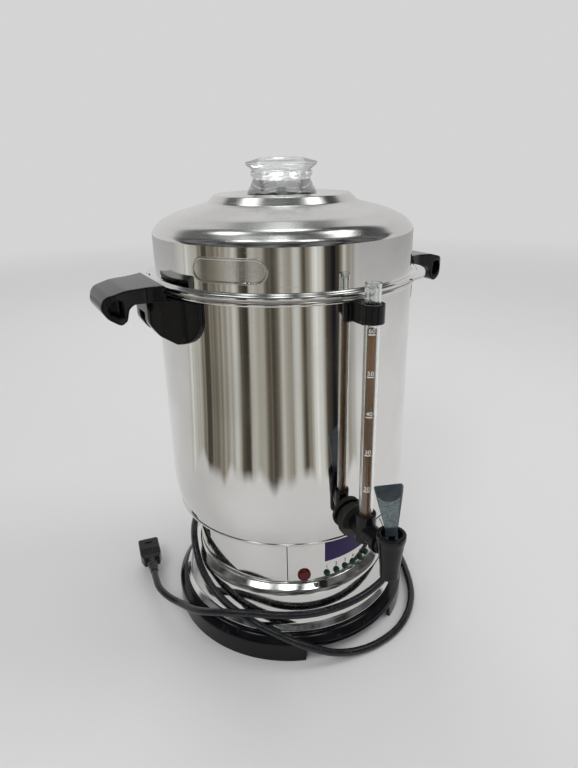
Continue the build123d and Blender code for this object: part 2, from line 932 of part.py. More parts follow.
def tap_outer_washer():
    """Soft washer between the tank wall and the ribbed collar."""
    return along_tap(13, shank_radius + shaft_gap, tank_foot_radius, collar_inner) - filled_tank()


def along_tap(outer, inner, start, end):
    """Ring about the tap's level axis between two distances from the urn's axis."""
    ring = rod(outer, (0, -start, tap_height), (0, -end, tap_height))
    if inner > 0:
        ring -= rod(inner, (0, -start + 1, tap_height), (0, -end - 1, tap_height))
    return ring


def tap_collar():
    """Ribbed collar that backs the tap against the tank."""
    ring = along_tap(collar_radius - 0.7, shank_radius + shaft_gap, collar_inner, collar_outer)
    for i in range(collar_ribs):
        turn = 2 * math.pi * i / collar_ribs
        x = (collar_radius - 0.7) * math.cos(turn)
        z = tap_height + (collar_radius - 0.7) * math.sin(turn)
        ring += rod(0.7, (x, -collar_inner - 0.6, z), (x, -collar_outer + 0.6, z))
    return ring


def tap_body():
    """Moulded tap body: threaded shank through the wall, level barrel and upright boss for the gauge."""
    body = along_tap(shank_radius, 0, tank_bore - 14, collar_outer)
    body += along_tap(barrel_radius, 0, collar_outer, joint_place)
    boss_bottom = tap_height - barrel_radius - 1.5
    boss = rod(boss_radius, (0, -boss_place, boss_bottom), (0, -boss_place, boss_top))
    body += fillet(boss.edges().group_by(Axis.Z)[-1], 1.0)
    body -= along_tap(bore_radius, 0, tank_bore - 15, joint_place + 1)
    body -= rod(glass_bore, (0, -boss_place, tap_height), (0, -boss_place, boss_top + 1))
    return body - rod(boss_bore, (0, -boss_place, boss_seat), (0, -boss_place, boss_top + 1))


def tap_joint_ring():
    """Ring that joins the spout to the tap body."""
    return along_tap(barrel_radius + 1.8, barrel_radius + fit_gap, joint_place - 4.0, joint_place + 1.0)


def tap_inner_washer():
    """Soft washer inside the tank."""
    washer = along_tap(10, shank_radius + shaft_gap, washer_inner, tank_radius)
    return (washer & filled_tank()) - tank_shell()


def tap_shank_nut():
    """Nut inside the tank that pulls the tap tight."""
    nut = hexagon(22, (0, -(washer_inner - 5), tap_height), (0, -washer_inner, tap_height))
    return nut - along_tap(shank_radius + fit_gap, 0, washer_inner - 6, washer_inner + 1)


def whole_spout():
    """Upright spout: open cup at its top, valve chamber, seat and tapered outlet."""
    body = turned(
        [
            (0, spout_tip),
            (spout_tip_radius, spout_tip),
            (spout_tip_radius + 0.6, spout_tip + 12),
            (11.2, cup_floor),
            (spout_rim_radius, cup_floor + 5),
            (spout_rim_radius, spout_rim),
            (0, spout_rim),
        ],
        [0, 1.0, 20.0, 8.0, 3.0, 1.2, 0],
    )
    for radius, bottom, top in (
        (outlet_radius, spout_tip - 1, seat_height - 2),
        (bore_radius, spout_tip, seat_height + 1),
        (chamber_radius, seat_height, guide_bottom),
        (stem_radius + shaft_gap, guide_bottom - 1, cup_floor + 1),
        (cup_radius, cup_floor, spout_rim + 1),
    ):
        body -= rod(radius, (0, 0, bottom), (0, 0, top))
    body = Pos(*tap_point) * body
    stub = along_tap(barrel_radius, bore_radius, joint_place, spout_place - chamber_radius - 1)
    stub -= rod(chamber_radius, (0, -spout_place, tap_height - 20), (0, -spout_place, tap_height + 20))
    return body + stub - along_tap(bore_radius, 0, joint_place - 1, spout_place)


def above_cup_floor():
    """Block that holds everything of the spout above the floor of its cup."""
    return Pos(*tap_point) * rod(2 * spout_rim_radius, (0, 0, cup_floor), (0, 0, spout_rim + 5))


def tap_spout():
    """Spout up to the floor of its cup."""
    return whole_spout() - above_cup_floor()


def tap_cup():
    """Wall of the cup on the spout, welded to it."""
    return whole_spout() & above_cup_floor()


def tap_seat():
    """Rubber seat cup that closes the outlet."""
    seat = rod(chamber_radius - 1.2, (0, 0, seat_height), (0, 0, seat_height + 4))
    seat += rod(bore_radius - slide_gap, (0, 0, seat_height - 1.2), (0, 0, seat_height))
    seat -= rod(stem_radius + shaft_gap, (0, 0, seat_height + 1), (0, 0, seat_height + 5))
    return Pos(*tap_point) * seat


def tap_stem():
    """Valve stem, flattened at its top for the lever's fork."""
    stem = rod(stem_radius, (0, 0, seat_height + 1.05), (0, 0, pin_height + 1.9))
    stem -= rod(pin_radius + fit_gap, (-5, 0, pin_height), (5, 0, pin_height))
    return facing_lever(stem)


def facing_lever(shape):
    """Turns a piece made with its pin along X to the lever's azimuth and stands it in the spout."""
    return Pos(*tap_point) * Rot(0, 0, lever_azimuth) * shape


def lever_pin():
    """Cross pin through the stem and the lever's fork."""
    return facing_lever(rod(pin_radius, (-5.2, 0, pin_height), (5.2, 0, pin_height)))


def tap_spring():
    """Helical spring that holds the seat cup down."""
    turns = 5
    wire = 0.55
    bottom = seat_height + 4 + wire
    top = guide_bottom - wire
    path = Helix(pitch=(top - bottom) / turns, height=top - bottom, radius=4.0, center=(0, 0, bottom))
    coil = sweep(Plane(origin=path @ 0, z_dir=path % 0) * Circle(wire), path=path, is_frenet=True)
    return Pos(*tap_point) * coil


def cam_point(turn):
    """Point of the lever's foot that faces down after a turn, for a lift in step with the turn."""
    rate = valve_lift / math.radians(lever_tilt)
    lift = cup_depth - slide_gap + rate * math.radians(turn)
    way = math.radians(turn)
    return (
        -lift * math.sin(way) - rate * math.cos(way),
        pin_height - lift * math.cos(way) + rate * math.sin(way),
    )


def tap_lever():
    """Lever: forked cam foot in the cup, narrow neck, and a tapered blade with a scooped face that
    leans a little to one side, as in the photo."""
    start, middle, end = (cam_point(lever_tilt * share) for share in (0, 0.5, 1))
    crown = pin_height + 5.4
    cam = make_face(
        [
            Line((3.9, pin_height), (3.9, pin_height - 1)),
            ThreePointArc((3.9, pin_height - 1), (1.08, pin_height - 3.36), start),
            ThreePointArc(start, middle, end),
            Line(end, (-2.6, pin_height + 3)),
            Line((-2.6, pin_height + 3), (-2.0, crown)),
            Line((-2.0, crown), (2.0, crown)),
            Line((2.0, crown), (3.9, pin_height)),
        ]
    )
    foot = extrude(Plane.YZ * cam, 5.0, both=True)
    slot = stem_radius + slide_gap
    foot -= box_between((-slot, -9, cup_floor - 1), (slot, 9, pin_height + 3.4))
    foot -= rod(pin_radius + shaft_gap, (-8, 0, pin_height), (8, 0, pin_height))
    front = make_face(
        Polyline(
            (-5.0, crown - 0.6),
            (5.0, crown - 0.6),
            (5.0, pin_height + 10),
            (lever_foot_width / 2, pin_height + 13),
            (lever_top_width / 2, lever_top - 1.2),
            (lever_top_width / 2 - 1.2, lever_top),
            (-lever_top_width / 2 + 1.2, lever_top),
            (-lever_top_width / 2, lever_top - 1.2),
            (-lever_foot_width / 2, pin_height + 13),
            (-5.0, pin_height + 10),
            close=True,
        )
    )
    blade = extrude(Plane.XZ * front, 1.9, both=True)
    blade -= Pos(0, -31.5, lever_top + 4) * Rot(0, 90, 0) * Cylinder(31.0, 40)
    leaning = Pos(0, 0, crown) * Rot(0, -lever_lean, 0) * Pos(0, 0, -crown) * blade
    return facing_lever(foot + leaning)


def gauge_seal():
    """Soft ring that seals the glass in the boss."""
    ring = tube(boss_bore - fit_gap, glass_radius + fit_gap, (0, 0, boss_seat), (0, 0, boss_seat + 4.5))
    return Pos(0, -boss_place, 0) * ring


def gauge_glass():
    """Sight glass beside the tank."""
    return Pos(0, -boss_place, 0) * tube(glass_radius, glass_bore, (0, 0, boss_seat), (0, 0, glass_top))


def gauge_shield():
    """Clear guard round the sight glass, slit down its back."""
    bottom = boss_seat + 4.5
    guard = tube(shield_radius, shield_radius - shield_wall, (0, 0, bottom), (0, 0, shield_top))
    guard -= box_between((-shield_slot / 2, 0, bottom - 1), (shield_slot / 2, 9, shield_top + 1))
    return Pos(0, -boss_place, 0) * guard


def coffee_column():
    """Coffee that stands in the sight glass."""
    return Pos(0, -boss_place, 0) * rod(glass_bore - fit_gap, (0, 0, boss_seat + 1), (0, 0, coffee_level))


def gauge_bracket():
    """Black bracket that holds the top of the gauge off the tank."""
    bracket = box_between((-10.5, -120.7, bracket_bottom - 3), (10.5, -110, bracket_top - 1))
    bracket += box_between((-6.5, -boss_place, bracket_bottom - 2), (6.5, -115, bracket_top - 1))
    bracket += Pos(0, -boss_place, 0) * rod(bracket_ring_radius, (0, 0, bracket_bottom), (0, 0, bracket_top))
    low = bracket_bottom - 10
    high = bracket_top + 10
    bracket -= Pos(0, -boss_place, 0) * rod(bracket_bore, (0, 0, low), (0, 0, high))
    bracket -= rod(tank_radius + fit_gap, (0, 0, low), (0, 0, bead_bottom))
    bracket -= rod(tank_radius + bead_reach + slide_gap, (0, 0, bead_bottom - slide_gap), (0, 0, high))
    return bracket - spoke(bracket_screw_radius + fit_gap, 110, bracket_screw_end, 0, bracket_screw_height)


def gauge_screw():
    """Screw from inside the tank into the gauge bracket."""
    z = bracket_screw_height
    screw = rod(bracket_screw_radius - fit_gap, (0, -tank_bore + 0.1, z), (0, -bracket_screw_end, z))
    return screw + rod(3.4, (0, -tank_bore + 2.4, z), (0, -tank_bore + 0.1, z))


def pump_tube():
    """Percolator tube with its bell foot and the stop that carries the basket."""
    tube_shape = stamped(
        [
            (pump_foot_radius, floor_top),
            (pump_foot_radius, well_top + 0.5),
            (pump_radius, well_top + 12),
            (pump_radius, pump_top),
        ],
        [5.0, 6.0],
        pump_wall,
    )
    stop = turned(
        [
            (pump_radius - pump_wall, basket_bottom - 6),
            (pump_radius + 0.2, basket_bottom - 6),
            (pump_radius + 5, basket_bottom - 2),
            (pump_radius + 5, basket_bottom),
            (pump_radius - pump_wall, basket_bottom),
        ]
    )
    for place in (0, 60, 120):
        tube_shape -= Rot(0, 0, place) * box_between((-30, -5, floor_top - 1), (30, 5, floor_top + 3))
    return tube_shape + stop


def basket():
    """Coffee basket with a pierced floor and a sleeve round the pump tube."""
    sleeve = pump_radius + 0.4
    shape = stamped(
        [
            (sleeve, basket_bottom + 20),
            (sleeve, basket_bottom),
            (basket_radius, basket_bottom),
            (basket_radius, basket_bottom + basket_height),
            (basket_radius + 3, basket_bottom + basket_height),
        ],
        [0.9, 6.0, 0.9],
        basket_wall,
    )
    for radius, count in ((22, 10), (38, 16), (54, 22), (70, 28)):
        for i in range(count):
            place = 360 * i / count
            hole = polar(place, radius, basket_bottom - 1)
            shape -= rod(1.4, hole, hole + Vector(0, 0, 3))
    return shape


def basket_cover():
    """Spreader plate on the basket, with a raised rim and drip holes."""
    bottom = basket_bottom + basket_height + basket_wall
    cover = stamped(
        [
            (pump_radius + 0.5, bottom + 4),
            (20, bottom),
            (basket_radius + 2, bottom),
            (basket_radius + 2, bottom + 5),
        ],
        [6.0, 1.0],
        basket_wall,
    )
    for radius, count in ((34, 12), (52, 18), (70, 24)):
        for i in range(count):
            place = 360 * i / count
            hole = polar(place, radius, bottom - 1)
            cover -= rod(1.2, hole, hole + Vector(0, 0, 3))
    return cover


def cord_gland():
    """Bush in the neck wall with a ribbed, tapered sleeve for the cord."""
    head = neck_radius + 3.5
    gland = turned(
        [
            (0, neck_bore - 3.0),
            (gland_radius + 1.4, neck_bore - 3.0),
            (gland_radius + 1.4, neck_bore - 0.6),
            (gland_radius, neck_bore - 0.6),
            (gland_radius, neck_radius + 0.6),
            (gland_radius + 2.5, neck_radius + 0.6),
            (gland_radius + 2.0, head),
            (6.4, head),
            (cord_radius + 0.9, gland_end),
            (0, gland_end),
        ]
    )
    for i in range(4):
        start = head + 4 + 5 * i
        gland -= disc(9, 5.2 - 0.35 * i, start, start + 1.6)
    gland = Pos(0, 0, gland_height) * Rot(-90, 0, 0) * gland
    return gland - rod(cord_radius - 0.4, (0, 80, gland_height), (0, gland_end - 6, gland_height))


def at_plug(along, shape):
    """Moves a piece made along +Y to a distance along the plug."""
    return Pos(*plug_start) * Rot(0, 0, plug_heading - 90) * Pos(0, along, 0) * shape


def plug_relief():
    """Tapered sleeve of the plug, with rings cut in it."""
    sleeve = turned(
        [(0, 0), (cord_radius + 0.7, 0), (5.9, relief_length), (0, relief_length)]
    )
    for i in range(3):
        start = 4 + 4.6 * i
        sleeve -= disc(9, cord_radius + 0.7 + 0.35 * i, start, start + 1.7)
    return at_plug(0, Rot(-90, 0, 0) * sleeve)


def plug_body():
    """Flat moulded plug with grip ridges, a shallow oblong recess on top and its blades below."""
    half = plug_width / 2
    plan = outline(
        [
            (-half + 3, 0),
            (half - 3, 0),
            (half, 9),
            (half, plug_length),
            (-half, plug_length),
            (-half, 9),
        ],
        [2, 2, 4, 2.5, 2.5, 4],
    )
    body = extrude(plan, plug_thickness / 2, both=True)
    body = chamfer(body.edges().group_by(Axis.Z)[-1], 1.0)
    for i in range(4):
        start = 7 + 3.0 * i
        groove = plug_thickness / 2 - 0.9
        body -= box_between((-half - 1, start, groove), (half + 1, start + 1.4, plug_thickness))
    body -= Pos(0, plug_length - 9.5, plug_thickness / 2) * extrude(SlotOverall(9, 3.2), 1.2, both=True)
    return at_plug(relief_length, body)


def plug_blades():
    """Two flat blades and a round earth pin that point down."""
    top = -plug_thickness / 2
    low = top - blade_length
    blades = [
        at_plug(relief_length + 27, box_between((side - 0.75, -3.2, low), (side + 0.75, 3.2, top)))
        for side in (-6.35, 6.35)
    ]
    return blades + [at_plug(relief_length + 16, rod(2.4, (0, 0, low), (0, 0, top)))]


def cord():
    """Round mains cord: from the gland to the floor, twice round the base and out to the plug."""
    heading = math.radians(plug_heading)
    end = Vector(*plug_start)
    last_run = 12 * Vector(math.cos(heading), math.sin(heading), 0)
    points = [polar(*stop) for stop in cord_route] + [Vector(*stop) for stop in plug_approach]
    points += [end - last_run, end]
    radii = []
    for before, here, after in zip(points, points[1:], points[2:]):
        into, out = here - before, after - here
        turn = math.radians(into.get_angle(out))
        radii.append(0.45 * min(into.length, out.length) / math.tan(turn / 2))
    path = FilletPolyline(*points, radius=radii)
    round_cord = sweep(Plane(origin=path @ 0, z_dir=path % 0) * Circle(cord_radius), path=path)
    section = math.pi * cord_radius**2
    print("cord length", round(path.length), "least radius", round(min(radii), 1))
    print("cord volume over section times length", round(round_cord.volume / (section * path.length), 4))
    return round_cord


save("tank_shell", tank_shell())
save("base_neck", base_neck())
save("base_flare", base_flare())
save("base_ring", base_ring())
save("ring_web", ring_web())
save("bottom_cover", bottom_cover())
save("base_studs", *base_studs())
save("base_nuts", *base_nuts())
save("heater_well", heater_well())
save("well_gaskets", *well_gaskets())
save("well_nut", well_nut())
save("main_heater", main_heater())
save("keep_warm_heater", keep_warm_heater())
save("thermostat", thermostat())
save("thermal_fuse", thermal_fuse())
save("terminal_block", terminal_block())
save("wiring", *wiring())
save("label_plate", label_plate())
save("label_band", label_band())
save("power_lamp_lens", dome_lens(power_lamp_radius, power_lamp_place, power_lamp_height, lamp_reach))
hour_lenses = [dome_lens(hour_lamp_radius, p, hour_lamp_height, lamp_reach) for p in hour_lamp_places]
save("hour_lamp_lenses", *hour_lenses)
save("lamp_holder", lamp_holder())
save("lamp_board", lamp_board())
right_handle, left_handle = on_both_sides(handle())
save("right_handle", right_handle)
save("left_handle", left_handle)
save("handle_screws", *on_both_sides(handle_screw()))
save("handle_nuts", *on_both_sides(handle_nut()))
save("lid_shell", lid_shell())
save("lid_skirt", lid_skirt())
save("lid_ears", *lid_ears())
save("lid_seal", lid_seal())
save("lid_badge", lid_badge())
save("lid_knob", lid_knob())
save("tap_outer_washer", tap_outer_washer())
save("tap_collar", tap_collar())
save("tap_body", tap_body())
save("tap_joint_ring", tap_joint_ring())
save("tap_inner_washer", tap_inner_washer())
save("tap_shank_nut", tap_shank_nut())
save("tap_spout", tap_spout())
save("tap_cup", tap_cup())
save("tap_seat", tap_seat())
save("tap_stem", tap_stem())
save("lever_pin", lever_pin())
save("tap_spring", tap_spring())
save("tap_lever", tap_lever())
save("gauge_seal", gauge_seal())
save("gauge_glass", gauge_glass())
save("gauge_shield", gauge_shield())
save("coffee_column", coffee_column())
save("gauge_bracket", gauge_bracket())
save("gauge_screw", gauge_screw())
save("pump_tube", pump_tube())
save("basket", basket())
save("basket_cover", basket_cover())
save("cord_gland", cord_gland())
save("cord", cord())
save("plug_relief", plug_relief())
save("plug_body", plug_body())
save("plug_blades", *plug_blades())
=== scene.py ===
"""A polished percolating coffee urn on a pale floor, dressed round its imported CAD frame."""

import math

import bmesh
import bpy
import numpy as np
from mathutils import Matrix, Vector


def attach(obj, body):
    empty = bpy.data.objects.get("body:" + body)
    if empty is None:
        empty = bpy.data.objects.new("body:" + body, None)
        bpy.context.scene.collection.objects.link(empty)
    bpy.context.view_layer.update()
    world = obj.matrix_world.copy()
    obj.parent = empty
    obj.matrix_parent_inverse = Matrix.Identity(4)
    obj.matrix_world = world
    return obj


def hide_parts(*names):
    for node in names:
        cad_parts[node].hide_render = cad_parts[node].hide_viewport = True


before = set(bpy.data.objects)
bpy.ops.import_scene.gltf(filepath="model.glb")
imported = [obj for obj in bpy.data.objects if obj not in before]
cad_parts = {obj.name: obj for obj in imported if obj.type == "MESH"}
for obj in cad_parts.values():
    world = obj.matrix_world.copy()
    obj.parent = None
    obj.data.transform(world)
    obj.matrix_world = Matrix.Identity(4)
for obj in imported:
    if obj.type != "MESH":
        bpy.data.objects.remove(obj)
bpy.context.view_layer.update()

# Sizes are in millimetres and become metres in the meshes. Azimuths are in degrees, counted from the tap
# towards +X, as in the CAD source.
MM = 0.001
TURN_STEPS = 288
ARC_STEP = 5.0
LONG_RUN, HELD_END = 3.0, 0.7
SHARP_ANGLE = 38.0

# Tank, lid and base
TANK_RADIUS, TANK_WALL, TANK_FLOOR, TANK_RIM = 118.2, 1.0, 125.0, 351.3
TANK_FOOT, TANK_CORNER, TANK_ROUNDING, WELL_HOLE = 113.0, 146.0, 100.0, 13.3
LIP_REACH, LIP_HEIGHT, WALL_AT_LIP = 1.4, 2.6, 0.64
BEAD_BOTTOM, BEAD_RADIUS, BEAD_ROUNDING = 347.3, 121.8, 1.9
SEAL_TOP = 352.1
LID_RADIUS, LID_RIM_RADIUS, LID_RIM_TOP, LID_WALL, LID_TOP = 117.4, 123.0, 356.3, 0.9, 421.4
LID_PLUG_RADIUS, LID_PLUG_BOTTOM = 116.4, 341.6
LID_SIDE_TOP, LID_DISH_RADIUS, LID_HOLE = 394.0, 34.0, 21.9
NECK_RADIUS, SEAM_HEIGHT, BASE_WALL, FLANGE_RADIUS = 96.7, 71.0, 0.8, 87.7
RING_RADIUS, RING_TOP, RING_WALL, RING_HOLE, RING_SHOULDER = 124.6, 25.8, 3.5, 105.0, 6.5
FLARE_RADIUS, FLARE_EDGE, FLARE_STEP = 115.6, 2.6, 2.4
FOOT_GAP_HEIGHT, FOOT_GAP_HALF_ANGLE, FOOT_GAP_PLACES, FOOT_GAP_END = 15.0, 25.0, (3.0, 183.0), 0.8
KNOB_FOOT, KNOB_HEIGHT, KNOB_NECK, KNOB_WALL, KNOB_PLUG = 421.4, 31.8, 21.5, 2.5, 5.0

# Corners of the free outlines, as radius and height: the flare's side, the lid from its side up to its
# raised middle, and the knob's side and hollow, with heights above the knob's foot
FLARE_SIDE = [(111.4, 33.0), (109.0, 44.0), (106.0, 65.0), (98.0, SEAM_HEIGHT)]
LID_CROWN = [(110.6, 401.6), (96.0, 408.3), (67.6, 416.0), (61.0, 422.6), (48.0, 423.6)]
KNOB_SKIRT, KNOB_WAIST = [(31.2, 0.0), (31.2, 1.2)], [(24.7, 14.8)]
KNOB_RIDGE, KNOB_LIP = [(27.4, 16.4), (27.4, 19.4), (25.8, 20.6)], [(31.8, 25.4), (31.8, 27.4)]
KNOB_DOME, KNOB_DOME_DROP, KNOB_BORE_HEIGHT = 18.0, 1.0, 13.0
KNOB_HOLLOW = [(0, 22.5), (14.0, 20.5)]

# Label: the band and the edge line lie on its plate, and the printed numbers stand over the hour lamps. A
# letter's height is a share of its font size, and the ink's depth goes to either side of its place.
LABEL_OUTER, LABEL_BOTTOM, LABEL_TOP, LABEL_SPAN = 97.3, 73.0, 121.5, (-30.0, 30.0)
BAND_BOTTOM, BAND_TOP, BAND_SPAN, BAND_THICKNESS = 90.0, 112.0, (-8.0, 26.0), 0.25
EDGE_LINE_MARGIN, EDGE_LINE_SPAN = 0.4, (-29.95, -29.45)
HOUR_LAMPS, HOUR_LAMP_HEIGHT = [-6.8 + 6.15 * i for i in range(6)], 76.5
HOUR_NUMBER_HEIGHT, HOUR_NUMBER_LIFT = 4.2, 5.2
LETTER_SHARE, INK_DEPTH, INK_SUNK, LABEL_INK_PLACE, GLASS_INK_PLACE = 0.72, 0.03, 0.02, 0.04, 0.05

# Gauge and tap
TAP_HEIGHT = 150.0
BOSS_PLACE, BOSS_SEAT = 140.0, 156.5
GLASS_RADIUS, GLASS_BORE, GLASS_TOP = 4.0, 2.4, 362.0
SHIELD_RADIUS, SHIELD_WALL, SHIELD_LIFT, SHIELD_TOP, SHIELD_SLOT = 6.3, 1.1, 4.5, 365.5, 5.0
COFFEE_LEVEL, COFFEE_FOOT, COFFEE_OVERLAP = 331.0, 1.0, 0.05
CUP_MARKS = {"20": 189.2, "30": 223.5, "40": 257.8, "50": 292.1, "60": 326.3}
CUP_MARKS_TURN, CUP_MARK_HEIGHT, CUP_MARK_LIFT, CUP_LINE = -36.0, 3.7, 1.7, (5.6, 0.8)
COLLAR_INNER, COLLAR_OUTER, COLLAR_RADIUS, COLLAR_BORE = 120.6, 127.0, 16.3, 7.45
COLLAR_RIBS, RIBS_FROM, RIBS_RUN, RIB_SHARE = 72, 14.0, 2.0, 0.012
SPOUT_PLACE = 175.3

# Tap lever: its lean, and the grained panel on its front, whose upper edge sags by a parabola
LEVER_AZIMUTH, LEVER_LEAN, PIN_HEIGHT = -28.0, 5.5, 162.5
LEVER_FACE = (1.60, 1.82)
PANEL_FOOT, PANEL_TOP, PANEL_SAG = (173.5, 175.0), (198.5, 197.5), 62.0
BLADE_HEIGHTS, BLADE_HALF_WIDTHS = (167.0, 212.0), (5.75, 11.6)

# Camera: the eye's place in the part's frame, how it is turned in degrees, and how long the lens is
EYE = (-256.2, -479.9, 453.0)
EYE_TURN, EYE_DOWN, EYE_ROLL = 28.4, 21.55, -1.18
FOCAL_PIXELS, LONG_SIDE_PIXELS, SENSOR = 577.0, 768.0, 36.0

# Studio: the tone that the backdrop has and the floor fades into, over a distance in metres, the world's
# plain light, and soft lamps that metal doesn't mirror, with their place, size and power
BACKDROP = (0.66, 0.66, 0.66)
FLOOR_REACH, FLOOR_FADE = 6000.0, (0.7, 3.0)
PLAIN_LIGHT, PLAIN_STRENGTH = (0.80, 0.80, 0.80), 0.75
LAMP_AIM = (0, 0, 200)
SOFT_LAMPS = (
    ("over_left", (-900, -900, 1500), 700, 9.0),
    ("over_right", (1100, -500, 1500), 700, 7.0),
    ("behind", (300, 1400, 1300), 900, 6.0),
)

# Room that the metal reflects: it starts some tenths of a metre away on the floor, with uneven tips. A lamp
# of its ceiling has an azimuth, a rise and a half width in degrees, and a strength.
ROOM_START, ROOM_TIPS, ROOM_SIDES = (0.31, 0.35), 0.22, (0.10, 0.30)
BACKDROP_RISE, BACKDROP_EDGE, SEEN_THROUGH = 1.3, (0.0, 0.12), 0.85
CEILING_LIGHT, LAMP_FALL = (0.01, 0.24), 3.0
CEILING_LAMPS = [
    (-78.0, 60.0, 12.0, 5.0),
    (-34.0, 68.0, 10.0, 7.0),
    (4.0, 58.0, 11.0, 5.0),
    (70.0, 62.0, 14.0, 4.0),
    (150.0, 66.0, 14.0, 4.0),
    (-140.0, 64.0, 14.0, 4.0),
]
ROOM_AZIMUTH = -48.0
ROOM_TONES = (
    (0.36, (0.012, 0.012, 0.014)),
    (0.44, (0.090, 0.078, 0.060)),
    (0.50, (0.300, 0.275, 0.225)),
    (0.57, (0.520, 0.520, 0.480)),
    (0.66, (0.860, 0.870, 0.850)),
)

# Mains cord: azimuth, distance from the urn's axis and height, then places beside the plug
CORD_RADIUS, CORD_LENGTH = 3.6, 1525.0
CORD_ROUTE = [
    (180.0, 126.0, 104.0),
    (180.0, 149.5, 104.0),
    (179.5, 165.0, 95.0),
    (178.2, 174.0, 79.0),
    (175.8, 175.5, 61.5),
    (171.8, 173.5, 44.5),
    (166.0, 169.0, 29.0),
    (158.0, 163.5, 17.0),
    (147.5, 158.0, 8.5),
    (134.5, 153.0, 4.2),
    (117.0, 147.0, 4.2),
    (99.0, 141.0, 4.2),
    (79.0, 136.0, 4.2),
    (61.0, 134.5, 4.2),
    (43.0, 140.5, 4.2),
    (25.0, 143.5, 4.2),
    (8.0, 139.5, 4.2),
    (-7.0, 134.5, 8.0),
    (-20.0, 131.5, 21.0),
    (-33.0, 124.5, 31.5),
    (-48.0, 119.0, 39.5),
    (-63.0, 116.5, 48.5),
    (-79.0, 113.5, 61.0),
    (-97.0, 108.0, 75.0),
    (-118.0, 105.5, 81.0),
    (-142.0, 105.0, 82.0),
    (-167.0, 105.0, 81.0),
    (-192.0, 105.5, 80.0),
    (-217.0, 106.5, 78.0),
    (-241.0, 109.5, 73.0),
    (-264.0, 114.5, 67.0),
    (-287.0, 120.0, 62.0),
    (-309.0, 124.0, 57.5),
    (-331.0, 122.0, 53.0),
    (-352.0, 118.5, 49.0),
    (-373.0, 116.5, 47.0),
    (-392.0, 117.0, 48.0),
    (-408.0, 121.5, 51.0),
    (-421.5, 128.5, 46.0),
    (-433.5, 133.0, 35.5),
    (-445.0, 134.0, 26.5),
]
PLUG_START, PLUG_HEADING, PLUG_STRAIGHT = (-142.6, 56.2, 22.4), 81.0, 12
CORD_BESIDE_PLUG = [(-141.5, 8.0, 23.4), (-146.0, 28.0, 22.4)]


def polar(azimuth, radius, height):
    """Point from an azimuth, a distance from the urn's axis and a height."""
    turn = math.radians(azimuth)
    return Vector((radius * math.sin(turn), -radius * math.cos(turn), height))


def make_camera():
    """Camera at the eye's place: turned from +Y towards +X, tipped down, then rolled."""
    turn, down, roll = (math.radians(v) for v in (EYE_TURN, EYE_DOWN, EYE_ROLL))
    ahead = Vector((math.sin(turn) * math.cos(down), math.cos(turn) * math.cos(down), -math.sin(down)))
    level = Vector((math.cos(turn), -math.sin(turn), 0))
    up = level.cross(ahead)
    right = math.cos(roll) * level + math.sin(roll) * up
    top = -math.sin(roll) * level + math.cos(roll) * up
    data = bpy.data.cameras.new("eye")
    data.sensor_width = SENSOR
    data.lens = SENSOR * FOCAL_PIXELS / LONG_SIDE_PIXELS
    data.clip_start = 0.01
    camera = bpy.data.objects.new("eye", data)
    axes = Matrix((right, top, -ahead)).transposed().to_4x4()
    camera.matrix_world = Matrix.Translation(Vector(EYE) * MM) @ axes
    bpy.context.collection.objects.link(camera)
    bpy.context.scene.camera = camera


# Materials. Each starts from one shader, and patterns come in on Object coordinates.


